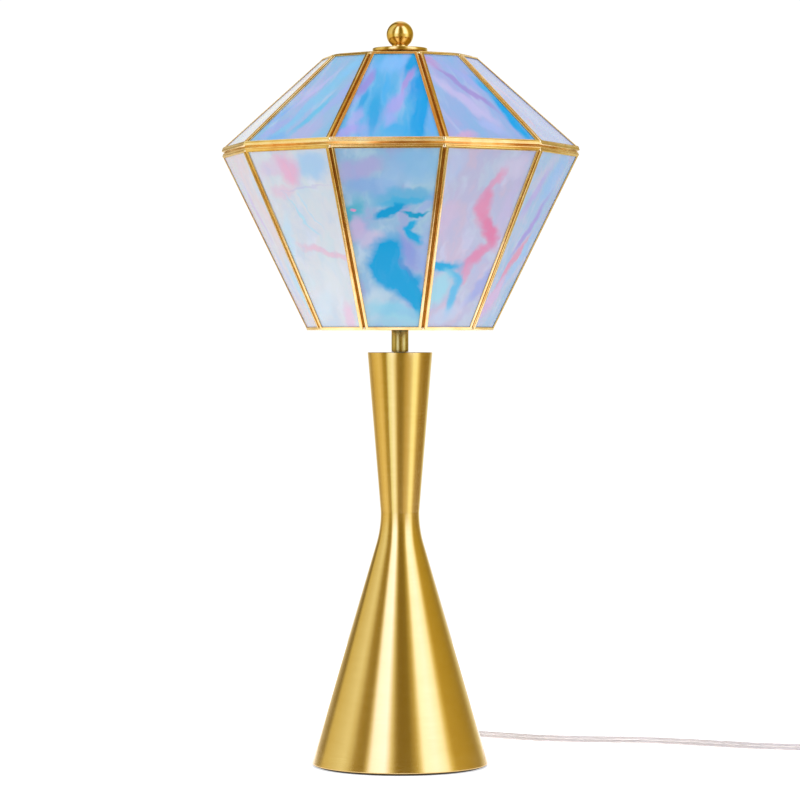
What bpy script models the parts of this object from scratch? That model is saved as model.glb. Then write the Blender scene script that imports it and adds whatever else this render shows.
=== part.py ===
"""Faceted art-glass table lamp: a turned brass body, a harp and socket, and a soldered glass shade.

The lamp stands on Z = 0 with its axis on Z and the shade's front pane facing -Y. Every size below is in
millimetres, and the helpers scale it to metres. Pieces that touch keep a gap of GAP.
"""

import math

import bmesh
import bpy
from mathutils import Matrix, Vector

MM = 0.001
GAP = 0.3

# Body: an inverted cone standing on a flared cone.
PAD_RADIUS = 62.5
PAD_TOP = 0.7
BODY_FOOT = PAD_TOP + GAP
BODY_WALL = 1.2
FOOT_ROUNDING = 1.2
CONE_RADIUS_AT_FLOOR = 66.8
CONE_FLARE = 0.2915
FOOT_LIP_RADIUS = 61.0
WAIST_HEIGHT = 190.4
WAIST_RADIUS = 14.4
WAIST_CURVE = 85.0
CONE_CURVE_STEPS = 4
FOOT_CURVE_STEPS = 3
BODY_STEPS = 40
NECK_TOP = 310.4
NECK_TOP_RADIUS = 24.3
NECK_CAP_THICKNESS = 2.5
STEM_RADIUS = 6.4
STEM_TOP = 330.0
ROD_RADIUS = 5.0
ROD_BORE = 3.6
ROD_BOTTOM = 11.5
ROD_TOP = 337.0
ROD_HOLE = 5.35
BALLAST_TOP = 26.0
BALLAST_RADIUS = 60.5
BALLAST_RECESS_RADIUS = 17.0
BALLAST_RECESS_TOP = 19.7
BALLAST_EDGE = 6.0
BALLAST_CLEARANCE = 1.8
CORD_SLOT_HALF = 5.5
COUPLER_HALF_LENGTH = 10.0
WASHER_RADIUS, WASHER_THICKNESS = 14.0, 1.5
NUT_RADIUS, NUT_HEIGHT = 9.8, 5.5

# Cord exit at the back of the flared cone.
EXIT_HEIGHT = 14.0
EXIT_HOLE = 5.0
BOOT_BACK, BOOT_BARREL_BACK, BOOT_BARREL_FRONT = 56.0, 54.0, 68.0
BOOT_COLLAR_FRONT, BOOT_COLLAR_RADIUS = 67.5, 7.5
BOOT_END = 84.0
BOOT_TIP_RADIUS = 3.9
BOOT_RIBS = 4

# Harp: saddle under the socket, a bent wire bow, and the stud that carries the shade.
SADDLE_BOTTOM = STEM_TOP + GAP
SADDLE_TOP = SADDLE_BOTTOM + 1.5
SADDLE_WIDTH = 12.0
HARP_HALF_WIDTH = 24.0
POST_RADIUS = 2.0
POST_TOP = 348.0
BOW_RADIUS = 1.7
BOW_TOP = 527.6
EYE_RADIUS = 7.0
EYE_HALF_THICKNESS = 1.9
FERRULE_BOTTOM = 338.5
FERRULE_LENGTH = 15.0
FERRULE_BORE, FERRULE_RADIUS, FERRULE_FLANGE = 2.35, 3.9, 4.5
STUD_RADIUS = 3.1
STUD_FLANGE = 9.0
STUD_HOLE = 3.5
STUD_TOP = 546.0
SEAT_TOP = 533.1

# Socket and lamp bulb.
SOCKET_FLOOR = SADDLE_TOP + GAP
SOCKET_CAP_RADIUS = 17.8
SOCKET_CAP_TOP = 348.0
SOCKET_WALL = 0.8
SOCKET_SHELL_RADIUS = 16.6
SOCKET_SHELL_BOTTOM, SOCKET_SHELL_TOP = 343.0, 395.0
CORE_RADIUS = 14.2
CORE_BOTTOM = 345.3
CORE_TOP = 361.0
SWITCH_HEIGHT = 353.0
SWITCH_SHAFT_RADIUS = 1.6
SWITCH_HOLE = 2.0
SWITCH_SHAFT_FRONT, SWITCH_SHAFT_BACK = -33.0, -6.0
KEY_LOW, KEY_HIGH = (-8.0, -42.0, -2.4), (8.0, -28.0, 2.4)
KEY_HUB_RADIUS, KEY_HUB_FRONT, KEY_HUB_BACK = 3.8, -32.0, -22.0
BULB_TIP = 364.7
BULB_CAP_BOTTOM = 367.5
BULB_CAP_TOP = 390.0
BULB_CAP_RADIUS = 13.0
BULB_RADIUS = 30.0
BULB_TOP = 470.0
BULB_WALL = 1.0
BULB_NECK = ((17.5, 409.0), (14.2, 400.0))
BULB_NECK_ANGLE = math.radians(38)

# Shade: two tiers of panes in brass channel frames. Radii are to the outer corners.
SIDES = 10
HALF_SIDE = math.pi / SIDES
TOP_RIM_RADIUS, TOP_RIM_HEIGHT = 57.6, 531.4
GIRDLE_RADIUS, CROWN_FOOT_HEIGHT, SKIRT_TOP_HEIGHT = 134.6, 463.0, 458.2
BOTTOM_RIM_RADIUS, BOTTOM_RIM_HEIGHT = 70.05, 326.4
FRAME_THICKNESS = 4.0
FRAME_FACE = 3.0
FRAME_LIP = 0.5
FRAME_WEB = 0.8
FRAME_SIDE_GAP = 0.15
SOLDER_RADIUS = 1.3
GIRDLE_SOLDER_RADIUS = 1.2
SEAM_END_CLEARANCE = 1.8
PLATE_BOTTOM, PLATE_TOP = 530.4, 531.6
PLATE_INNER_RADIUS = 53.2
PLATE_CORNER_RADIUS = 54.6
HUB_RADIUS = 16.0
HUB_TOP = 534.9
VENT_RADIUS, VENT_CIRCLE, VENTS = 4.5, 36.0, 5
DISC_RADIUS, DISC_BOTTOM, DISC_TOP = 20.6, 535.2, 538.1
BALL_RADIUS, BALL_CENTRE = 10.1, 548.3
BALL_FOOT_RADIUS = 6.0
BALL_BORE = 4.9
BALL_BORE_TOP = 549.5
INSERT_RADIUS = 4.6
INSERT_BORE = 3.4

# Supply cord: 5.5 mm wide flat twin, 1.8 m long, wound up past the stretch that lies free.
CORD_RADIUS = 2.5
CORD_REST = 2.8
CORD_POINT_SPACING = 12.0
CORD_ROUTE = (
    (0, 84.5, 14.0), (0, 90, 14.0), (0, 97, 12.9), (0, 104, 10.4), (0, 112, 7.1), (0, 121, 4.2),
    (0, 132, CORD_REST), (0, 145, CORD_REST), (1, 160, CORD_REST), (3, 175, CORD_REST), (8, 187, CORD_REST),
    (18, 194, CORD_REST), (33, 193, CORD_REST), (50, 186, CORD_REST), (67, 177, CORD_REST),
    (84, 168, CORD_REST), (101, 161, CORD_REST), (132, 155, CORD_REST), (157, 154, CORD_REST),
    (180, 153, CORD_REST), (211, 144, CORD_REST), (242, 131, CORD_REST), (273, 119, CORD_REST),
    (303, 113.4, CORD_REST), (329.7, 110.6, 3.1),
)
INNER_LEAD_BEND = ((0, 53.7, 14), (0, 44, 12), (0, 28, 7), (0, 14, 5), (0, 4, 6.6), (0, 0, 13))
INNER_LEAD_SPACING = 5.0
INNER_LEAD_TOP = 343.5
INNER_LEAD_RADIUS = 1.8
COIL_CENTRE = Vector((352.5, 143.8, 0.0))
COIL_INNER_RADIUS, COIL_OUTER_RADIUS = 21.2, 36.4
COIL_BOTTOM, COIL_TOP = 1.2, 12.6
TIE_ANGLE = math.radians(120)
TIE_WIDTH, TIE_THICKNESS = 6.0, 0.8
PLUG_AXIS = COIL_CENTRE + Vector((34.8, 0.0, 6.8))
PLUG_START = 21.5
PLUG_NECK_LENGTH = 15.0
PLUG_NECK_TIP_RADIUS, PLUG_NECK_RADIUS = 3.4, 5.8
PLUG_BLOCK = (26.0, 24.0, 12.8)
BLADES = (("narrow", 6.35, -1), ("wide", 7.9, 1))
BLADE_SPACING = 12.7
BLADE_THICKNESS = 1.5
BLADE_LENGTH = 17.0
BLADE_DEPTH_IN_PLUG = 4.0


def clear_scene():
    for obj in list(bpy.data.objects):
        bpy.data.objects.remove(obj, do_unlink=True)


def new_collection(name):
    collection = bpy.data.collections.new(name)
    bpy.context.scene.collection.children.link(collection)
    return collection


def make_look(name, colour, roughness, metallic=0.0, transmission=0.0):
    look = bpy.data.materials.new(name)
    look.use_nodes = True
    shader = look.node_tree.nodes["Principled BSDF"]
    shader.inputs["Base Color"].default_value = (*colour, 1.0)
    shader.inputs["Roughness"].default_value = roughness
    shader.inputs["Metallic"].default_value = metallic
    shader.inputs["Transmission Weight"].default_value = transmission
    return look


def place(name, mesh, look, cutter=False):
    """Links a mesh as a part, or as a wire-drawn helper that is left out of renders."""
    obj = bpy.data.objects.new(name, mesh)
    (CUTTERS if cutter else PARTS).objects.link(obj)
    if look and not mesh.materials:
        mesh.materials.append(look)
    if cutter:
        obj.hide_render = True
        obj.display_type = "WIRE"
    return obj


def evaluated_mesh(obj):
    bpy.context.view_layer.update()
    graph = bpy.context.evaluated_depsgraph_get()
    return bpy.data.meshes.new_from_object(obj.evaluated_get(graph))


def turned(name, profile, look=None, steps=32, closed=False, wall=0.0, cutter=False):
    """A body of revolution about Z. The profile, in (radius, height), runs down its outer side."""
    mesh = bpy.data.meshes.new(name)
    last = len(profile) - 1
    edges = [(i, i + 1) for i in range(last)]
    if closed:
        edges.append((last, 0))
    mesh.from_pydata([(radius * MM, 0, height * MM) for radius, height in profile], edges, [])
    obj = place(name, mesh, look, cutter)
    screw = obj.modifiers.new("turn", "SCREW")
    screw.steps = screw.render_steps = steps
    screw.use_merge_vertices = True
    screw.merge_threshold = 0.00001
    screw.use_smooth_shade = True
    if wall:
        solidify = obj.modifiers.new("wall", "SOLIDIFY")
        solidify.thickness = wall * MM
        solidify.offset = -1
        solidify.use_even_offset = True
    return obj


def rod(name, radius, bottom, top, look=None, steps=24, cutter=False):
    """A solid cylinder about Z."""
    return turned(name, [(0, top), (radius, top), (radius, bottom), (0, bottom)], look, steps, cutter=cutter)


def tube(name, inner, outer, bottom, top, look=None, steps=24):
    """A hollow cylinder about Z."""
    profile = [(inner, top), (outer, top), (outer, bottom), (inner, bottom)]
    return turned(name, profile, look, steps, closed=True)


def along_y(obj, height=0.0):
    """Lays a piece that was turned about Z on its side, so that its axis runs along +Y."""
    obj.rotation_euler = (-math.pi / 2, 0, 0)
    obj.location = (0, 0, height * MM)
    return obj


def block(name, low, high, look=None, bevel=0.0, cutter=False):
    """A box between two corners, with its edges rounded by bevel."""
    mesh = bpy.data.meshes.new(name)
    form = bmesh.new()
    bmesh.ops.create_cube(form, size=1)
    for corner in form.verts:
        corner.co = [(a + b) / 2 + side * (b - a) for a, b, side in zip(low, high, corner.co)]
        corner.co *= MM
    form.to_mesh(mesh)
    form.free()
    obj = place(name, mesh, look, cutter)
    if bevel:
        rounding = obj.modifiers.new("edges", "BEVEL")
        rounding.width = bevel * MM
        rounding.segments = 2
    return obj


def combine(obj, other, operation):
    step = obj.modifiers.new(operation.lower(), "BOOLEAN")
    step.operation = operation
    step.object = other
    return obj


def cut(obj, *cutters):
    for cutter in cutters:
        combine(obj, cutter, "DIFFERENCE")
    return obj


def join(obj, *others):
    for other in others:
        combine(obj, other, "UNION")
    return obj


def smooth_route(points, spacing):
    """Points about every `spacing` along a Catmull-Rom curve through the given ones."""
    knots = [Vector(point) for point in points]
    knots = [2 * knots[0] - knots[1], *knots, 2 * knots[-1] - knots[-2]]
    dense = []
    for before, start, end, after in zip(knots, knots[1:], knots[2:], knots[3:]):
        for step in range(16):
            t = step / 16
            dense.append(
                0.5
                * (
                    2 * start
                    + (end - before) * t
                    + (2 * before - 5 * start + 4 * end - after) * t**2
                    + (3 * start - before - 3 * end + after) * t**3
                )
            )
    dense.append(knots[-2])
    travelled = [0.0]
    for start, end in zip(dense, dense[1:]):
        travelled.append(travelled[-1] + (end - start).length)
    count = max(2, round(travelled[-1] / spacing))
    route = []
    place_now = 0
    for index in range(count + 1):
        wanted = travelled[-1] * index / count
        while place_now < len(dense) - 2 and travelled[place_now + 1] < wanted:
            place_now += 1
        span = travelled[place_now + 1] - travelled[place_now]
        route.append(dense[place_now].lerp(dense[place_now + 1], (wanted - travelled[place_now]) / span))
    return route


def wire(name, points, radius, look, cutter=False):
    """A round wire along the points."""
    curve = bpy.data.curves.new(name, "CURVE")
    curve.dimensions = "3D"
    curve.bevel_depth = radius * MM
    curve.bevel_resolution = 2
    curve.use_fill_caps = True
    spline = curve.splines.new("POLY")
    spline.points.add(len(points) - 1)
    for knot, point in zip(spline.points, points):
        knot.co = (*(Vector(point) * MM), 1)
        knot.radius = 1
    return place_curve(name, curve, look, cutter)


def place_curve(name, curve, look, cutter):
    obj = bpy.data.objects.new(name, curve)
    (CUTTERS if cutter else PARTS).objects.link(obj)
    curve.materials.append(look)
    return obj


def as_mesh(curve_object):
    """Replaces a curve object by its mesh, with the caps welded, so that Booleans can use it."""
    name = curve_object.name
    matrix = curve_object.matrix_world.copy()
    mesh = evaluated_mesh(curve_object)
    bpy.data.objects.remove(curve_object, do_unlink=True)
    form = bmesh.new()
    form.from_mesh(mesh)
    bmesh.ops.remove_doubles(form, verts=form.verts, dist=0.000001)
    form.to_mesh(mesh)
    form.free()
    obj = place(name, mesh, None)
    obj.matrix_world = matrix
    return obj


# Body ---------------------------------------------------------------------------------------------


def cone_radius(height):
    """Outer radius of the flared cone's straight side."""
    return CONE_RADIUS_AT_FLOOR - CONE_FLARE * height


def flared_cone_profile():
    """Outer side, from the waist down: a hollow curve, a straight flare and a rounded foot."""
    lean = math.atan(CONE_FLARE)
    curve_centre = WAIST_RADIUS + WAIST_CURVE
    profile = []
    for step in range(CONE_CURVE_STEPS + 1):
        angle = lean * step / CONE_CURVE_STEPS
        radius = curve_centre - WAIST_CURVE * math.cos(angle)
        profile.append((radius, WAIST_HEIGHT - GAP / 2 - WAIST_CURVE * math.sin(angle)))
    foot_height = BODY_FOOT + FOOT_ROUNDING
    foot_centre = cone_radius(foot_height) - FOOT_ROUNDING / math.cos(lean)
    for step in range(FOOT_CURVE_STEPS + 1):
        angle = lean - (math.pi / 2 + lean) * step / FOOT_CURVE_STEPS
        radius = foot_centre + FOOT_ROUNDING * math.cos(angle)
        profile.append((radius, foot_height + FOOT_ROUNDING * math.sin(angle)))
    profile.append((FOOT_LIP_RADIUS, BODY_FOOT))
    return profile


def make_body(brass, polished, iron, steel, felt):
    rod_hole = rod("cut_rod_hole", ROD_HOLE, -5, 400, cutter=True)
    pad_profile = [(0, PAD_TOP), (PAD_RADIUS, PAD_TOP), (PAD_RADIUS, 0), (0, 0)]
    turned("base_pad", pad_profile, felt, BODY_STEPS)

    cone = turned("base_cone", flared_cone_profile(), brass, BODY_STEPS, wall=BODY_WALL)
    exit_hole = rod("cut_exit_hole", EXIT_HOLE, 50, 75, steps=16, cutter=True)
    cut(cone, along_y(exit_hole, EXIT_HEIGHT))

    ballast_profile = [(0, BALLAST_TOP), (cone_radius(BALLAST_TOP) - BALLAST_CLEARANCE, BALLAST_TOP)]
    ballast_profile += [(BALLAST_RADIUS, BALLAST_EDGE), (BALLAST_RADIUS, BODY_FOOT), (0, BODY_FOOT)]
    recess = rod("cut_recess", BALLAST_RECESS_RADIUS, -5, BALLAST_RECESS_TOP, cutter=True)
    slot_low = (-CORD_SLOT_HALF, 0, -5)
    slot_high = (CORD_SLOT_HALF, 75, BALLAST_RECESS_TOP - 0.2)
    cord_slot = block("cut_cord_slot", slot_low, slot_high, cutter=True)
    cut(turned("base_ballast", ballast_profile, iron), rod_hole, recess, cord_slot)

    neck_top_in = NECK_TOP_RADIUS - BODY_WALL
    neck_foot = WAIST_HEIGHT + GAP / 2
    neck_profile = [(neck_top_in, NECK_TOP), (NECK_TOP_RADIUS, NECK_TOP), (WAIST_RADIUS + 0.1, neck_foot)]
    neck_profile += [(WAIST_RADIUS + 0.1 - BODY_WALL, neck_foot)]
    turned("neck_cone", neck_profile, brass, BODY_STEPS, closed=True)

    cap_radius = neck_top_in - 2 * GAP
    tube("neck_cap", ROD_HOLE, cap_radius, NECK_TOP - NECK_CAP_THICKNESS, NECK_TOP, brass, 32)
    coupler_radius = WAIST_RADIUS - BODY_WALL - GAP
    coupler_bottom = WAIST_HEIGHT - COUPLER_HALF_LENGTH
    coupler_top = WAIST_HEIGHT + COUPLER_HALF_LENGTH
    tube("waist_coupler", ROD_HOLE, coupler_radius, coupler_bottom, coupler_top, steel)

    tube("tie_rod", ROD_BORE, ROD_RADIUS, ROD_BOTTOM, ROD_TOP, steel)
    washer_top = BALLAST_RECESS_TOP - GAP
    washer_bottom = washer_top - WASHER_THICKNESS
    nut_top = washer_bottom - GAP
    tube("rod_washer", ROD_HOLE, WASHER_RADIUS, washer_bottom, washer_top, steel)
    tube("rod_nut", ROD_HOLE, NUT_RADIUS, nut_top - NUT_HEIGHT, nut_top, steel, 6)
    cut(bpy.data.objects["rod_nut"], rod_hole)
    tube("stem_tube", ROD_HOLE, STEM_RADIUS, NECK_TOP + GAP, STEM_TOP, polished)


def make_cord_boot(pvc):
    """Moulded strain relief: a barrel in the cone's hole, a collar that follows the wall, a ribbed taper."""
    profile = [(0, BOOT_END), (BOOT_TIP_RADIUS, BOOT_END)]
    for rib in range(BOOT_RIBS):
        outer_end = BOOT_END - 2 - 4 * rib
        rib_radius = BOOT_TIP_RADIUS + 0.5 + 0.45 * rib
        profile += [(rib_radius, outer_end), (rib_radius, outer_end - 2), (rib_radius - 0.5, outer_end - 2.2)]
    profile += [(BOOT_COLLAR_RADIUS - 0.5, BOOT_COLLAR_FRONT), (BOOT_COLLAR_RADIUS, BOOT_COLLAR_FRONT - 1)]
    profile += [(BOOT_COLLAR_RADIUS, BOOT_BACK), (0, BOOT_BACK)]
    boot = along_y(turned("cord_bushing", profile, pvc, 12), EXIT_HEIGHT)
    grown = [(0, 60), (cone_radius(60) + GAP, 60), (cone_radius(0) + GAP, 0), (0, 0)]
    wall = turned("cut_cone_outside", grown, steps=48, cutter=True)
    barrel_radius = EXIT_HOLE - 0.4
    barrel = rod("add_boot_barrel", barrel_radius, BOOT_BARREL_BACK, BOOT_BARREL_FRONT, steps=16, cutter=True)
    join(cut(boot, wall), along_y(barrel, EXIT_HEIGHT))


# Harp and socket ----------------------------------------------------------------------------------


def bow_points():
    """The bow's centre line: straight legs, a belly that clears the bulb, and a level crown."""
    leg_top = 371.0
    right = [(HARP_HALF_WIDTH, leg_top), (26, 378), (36, 396), (47, 420), (52, 447), (50, 472)]
    right += [(42, 497), (31, 514), (19, 524), (9, BOW_TOP), (0, BOW_TOP)]
    half = smooth_route([(x, 0, z) for x, z in right], 11.0)
    foot = Vector((HARP_HALF_WIDTH, 0, POST_TOP + GAP))
    side = [foot, *half]
    return side + [Vector((-point.x, 0, point.z)) for point in reversed(side[:-1])]


def ferrule_profile():
    top = FERRULE_BOTTOM + FERRULE_LENGTH
    profile = [(FERRULE_BORE, top), (FERRULE_RADIUS - 0.5, top), (FERRULE_RADIUS, top - 0.8)]
    profile += [(FERRULE_RADIUS, FERRULE_BOTTOM + 1.2), (FERRULE_FLANGE, FERRULE_BOTTOM + 0.8)]
    profile += [(FERRULE_FLANGE, FERRULE_BOTTOM), (FERRULE_BORE, FERRULE_BOTTOM)]
    return profile


def make_harp(brass, steel):
    saddle = block(
        "harp_saddle",
        (-HARP_HALF_WIDTH - 3, -SADDLE_WIDTH / 2, SADDLE_BOTTOM),
        (HARP_HALF_WIDTH + 3, SADDLE_WIDTH / 2, SADDLE_TOP),
        brass,
    )
    cut(saddle, bpy.data.objects["cut_rod_hole"])
    for side, x in (("left", -HARP_HALF_WIDTH), ("right", HARP_HALF_WIDTH)):
        post = rod("add_post_" + side, POST_RADIUS, SADDLE_BOTTOM + 0.5, POST_TOP, steps=12, cutter=True)
        post.location.x = x * MM
        join(saddle, post)
        ferrule = turned("harp_ferrule_" + side, ferrule_profile(), brass, 16, closed=True)
        ferrule.location.x = x * MM

    bow = as_mesh(wire("harp_bow", bow_points(), BOW_RADIUS, brass))
    eye_bottom, eye_top = BOW_TOP - EYE_HALF_THICKNESS, BOW_TOP + EYE_HALF_THICKNESS
    join(bow, rod("add_bow_eye", EYE_RADIUS, eye_bottom, eye_top, steps=20, cutter=True))
    cut(bow, rod("cut_bow_eye", STUD_HOLE, eye_bottom - 5, eye_top + 5, steps=16, cutter=True))

    seat_bottom = eye_top + GAP
    rivet_top = eye_bottom - GAP
    stud = [(0, STUD_TOP), (STUD_RADIUS - 0.5, STUD_TOP), (STUD_RADIUS, STUD_TOP - 0.6)]
    stud += [(STUD_RADIUS, SEAT_TOP), (STUD_FLANGE, SEAT_TOP), (STUD_FLANGE, seat_bottom)]
    stud += [(STUD_RADIUS, seat_bottom), (STUD_RADIUS, rivet_top)]
    stud += [(4.6, rivet_top), (4.2, rivet_top - 1.8), (0, rivet_top - 2.2)]
    turned("harp_stud", stud, steel, 20)


def make_socket(brass, steel, card, phenolic, knob):
    floor, lip = SOCKET_FLOOR, SOCKET_FLOOR + 1.2
    cap_inside = SOCKET_CAP_RADIUS - SOCKET_WALL
    cap = [(cap_inside, SOCKET_CAP_TOP), (SOCKET_CAP_RADIUS, SOCKET_CAP_TOP), (SOCKET_CAP_RADIUS, floor + 4)]
    cap += [(SOCKET_CAP_RADIUS - 3, floor), (ROD_HOLE, floor), (ROD_HOLE, lip), (cap_inside - 3, lip)]
    cap += [(cap_inside, floor + 5)]
    turned("socket_cap", cap, brass, 24, closed=True)

    shaft_hole = rod("cut_shaft_hole", SWITCH_HOLE, -30, -4.5, steps=12, cutter=True)
    along_y(shaft_hole, SWITCH_HEIGHT)
    shell_inside = SOCKET_SHELL_RADIUS - SOCKET_WALL
    shell_ends = SOCKET_SHELL_BOTTOM, SOCKET_SHELL_TOP
    cut(tube("socket_shell", shell_inside, SOCKET_SHELL_RADIUS, *shell_ends, brass), shaft_hole)
    liner_outside = shell_inside - 0.4
    liner_bottom, liner_top = CORE_BOTTOM + GAP, SOCKET_SHELL_TOP - 3
    cut(tube("socket_liner", CORE_RADIUS + 0.4, liner_outside, liner_bottom, liner_top, card), shaft_hole)
    cut(rod("socket_core", CORE_RADIUS, CORE_BOTTOM, CORE_TOP, phenolic), shaft_hole)
    screw_inside = BULB_CAP_RADIUS + 0.4
    tube("screw_shell", screw_inside, CORE_RADIUS, CORE_TOP + 3, BULB_CAP_TOP, brass)
    contact = [(0, BULB_TIP - GAP), (2, BULB_TIP - GAP), (4.5, CORE_TOP + 1.4)]
    contact += [(4.5, CORE_TOP + GAP), (0, CORE_TOP + GAP)]
    turned("centre_contact", contact, brass, 16)

    shaft = rod("switch_shaft", SWITCH_SHAFT_RADIUS, SWITCH_SHAFT_FRONT, SWITCH_SHAFT_BACK, steel, 12)
    along_y(shaft, SWITCH_HEIGHT)
    key = block("switch_key", KEY_LOW, KEY_HIGH, knob, bevel=2.0)
    key.location.z = SWITCH_HEIGHT * MM
    hub = rod("add_key_hub", KEY_HUB_RADIUS, KEY_HUB_FRONT, KEY_HUB_BACK, steps=16, cutter=True)
    hub_bore = rod("cut_key_bore", SWITCH_HOLE, SWITCH_SHAFT_FRONT - 0.4, -20, steps=12, cutter=True)
    cut(join(key, along_y(hub, SWITCH_HEIGHT)), along_y(hub_bore, SWITCH_HEIGHT))


def make_bulb(glass, brass, solder):
    centre = BULB_TOP - BULB_RADIUS
    outline = []
    for step in range(7):
        angle = math.pi / 2 - (math.pi / 2 + BULB_NECK_ANGLE) * step / 6
        outline.append((BULB_RADIUS * math.cos(angle), centre + BULB_RADIUS * math.sin(angle)))
    outline += [*BULB_NECK, (BULB_CAP_RADIUS - 0.2, BULB_CAP_TOP + GAP)]
    turned("bulb_globe", outline, glass, 20, wall=BULB_WALL)
    cap = [(0, BULB_CAP_TOP), (BULB_CAP_RADIUS, BULB_CAP_TOP), (BULB_CAP_RADIUS, 372.5)]
    cap += [(11.5, 370.5), (7, BULB_CAP_BOTTOM), (0, BULB_CAP_BOTTOM)]
    turned("bulb_cap", cap, brass, 24)
    tip_top = BULB_CAP_BOTTOM - GAP
    turned("bulb_contact", [(0, tip_top), (5, tip_top), (3.2, BULB_TIP), (0, BULB_TIP)], solder, 16)


# Shade --------------------------------------------------------------------------------------------


class Tier:
    """One ring of panes, described by its frames' inner faces in the plane through a side's middle."""

    def __init__(self, name, low, high, outward_z):
        self.name = name
        flat = math.cos(HALF_SIDE)
        low_point = Vector((low[0] * flat, 0, low[1]))
        high_point = Vector((high[0] * flat, 0, high[1]))
        slope = (high_point - low_point).normalized()
        self.normal = Vector((slope.z, 0, -slope.x))
        assert self.normal.z * outward_z > 0
        self.low = low_point - self.normal * FRAME_THICKNESS
        self.high = high_point - self.normal * FRAME_THICKNESS
        self.slope = slope
        self.length = (self.high - self.low).length
        self.low_half = self.low.x * math.tan(HALF_SIDE)
        self.high_half = self.high.x * math.tan(HALF_SIDE)

    def side_matrix(self, side):
        """Puts a panel drawn in (across, up the slope, outward) on the given side of the shade."""
        front = Matrix.Identity(4)
        front.col[0] = (1, 0, 0, 0)
        front.col[1] = (0, -self.slope.x, self.slope.z, 0)
        front.col[2] = (0, -self.normal.x, self.normal.z, 0)
        front.col[3] = (0, -self.low.x * MM, self.low.z * MM, 1)
        return Matrix.Rotation(2 * HALF_SIDE * side, 4, "Z") @ front

    def slab(self, name, margin, bottom, top, look=None, cutter=False):
        """A trapezoid slab inset by margin from the side's edges, between two depths."""
        taper = (self.low_half - self.high_half) / self.length
        inset = margin * math.hypot(1, taper)
        mesh = bpy.data.meshes.new(name)
        form = bmesh.new()
        bmesh.ops.create_cube(form, size=1)
        for corner in form.verts:
            up = margin if corner.co.y < 0 else self.length - margin
            half_width = self.low_half - taper * up - inset
            across = math.copysign(half_width, corner.co.x)
            corner.co = Vector((across, up, bottom if corner.co.z < 0 else top)) * MM
        form.to_mesh(mesh)
        form.free()
        return place(name, mesh, look, cutter)


def solder_bar(tier, side):
    """The solder that joins two frames along their inner edges."""
    angle = 2 * HALF_SIDE * (side + 0.5) - math.pi / 2
    outward = Vector((math.cos(angle), math.sin(angle), 0))
    corner = 1 / math.cos(HALF_SIDE)
    low = outward * tier.low.x * corner + Vector((0, 0, tier.low.z))
    high = outward * tier.high.x * corner + Vector((0, 0, tier.high.z))
    along = (high - low).normalized()
    length = (high - low).length - 2 * SEAM_END_CLEARANCE
    name = f"add_{tier.name}_solder_{side}"
    bar = rod(name, SOLDER_RADIUS, -length / 2, length / 2, steps=8, cutter=True)
    bar.rotation_euler = along.to_track_quat("Z", "X").to_euler()
    bar.location = (low + high) / 2 * MM
    return bar


def make_lattice(tier, brass, extras=()):
    """The tier's ten channel frames, soldered to each other, as one piece."""
    frame = tier.slab(f"add_{tier.name}_frame", FRAME_SIDE_GAP, 0, FRAME_THICKNESS, brass, cutter=True)
    window = tier.slab(f"cut_{tier.name}_window", FRAME_FACE, -5, FRAME_THICKNESS + 5, cutter=True)
    channel = tier.slab(
        f"cut_{tier.name}_channel", FRAME_WEB, FRAME_LIP, FRAME_THICKNESS - FRAME_LIP, cutter=True
    )
    frame_mesh = evaluated_mesh(cut(frame, window, channel))
    bpy.data.objects.remove(frame, do_unlink=True)

    joined = new_collection(f"{tier.name} frames and solder")
    for side in range(1, SIDES):
        copy = place(f"add_{tier.name}_frame_{side}", frame_mesh, None, cutter=True)
        copy.matrix_world = tier.side_matrix(side)
        joined.objects.link(copy)
    for side in range(SIDES):
        joined.objects.link(solder_bar(tier, side))
    for extra in extras:
        joined.objects.link(extra)
    lattice = place(f"{tier.name}_came", frame_mesh.copy(), None)
    lattice.matrix_world = tier.side_matrix(0)
    union = lattice.modifiers.new("solder", "BOOLEAN")
    union.operation = "UNION"
    union.operand_type = "COLLECTION"
    union.collection = joined
    return lattice


def make_panes(tier, glass):
    margin = FRAME_WEB + GAP
    first = tier.slab(
        f"pane_{tier.name}_01", margin, FRAME_LIP + GAP, FRAME_THICKNESS - FRAME_LIP - GAP, glass
    )
    first.matrix_world = tier.side_matrix(0)
    for side in range(1, SIDES):
        pane = place(f"pane_{tier.name}_{side + 1:02d}", first.data, None)
        pane.matrix_world = tier.side_matrix(side)


def girdle_bead(crown, skirt):
    """Solder run in the notch between the tiers: it joins the crown's frames and clears the skirt's."""
    foot_inner, foot_outer = crown.low, crown.low + crown.normal * FRAME_THICKNESS
    centre = foot_inner.lerp(foot_outer, 0.42) - crown.slope * 0.55
    bead = turned(
        "add_girdle_bead",
        [
            (
                centre.x / math.cos(HALF_SIDE) + GIRDLE_SOLDER_RADIUS * math.sin(angle),
                centre.z + GIRDLE_SOLDER_RADIUS * math.cos(angle),
            )
            for angle in (2 * math.pi * step / 8 for step in range(8))
        ],
        steps=SIDES,
        closed=True,
        cutter=True,
    )
    assert centre.z > skirt.high.z
    return bead


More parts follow.
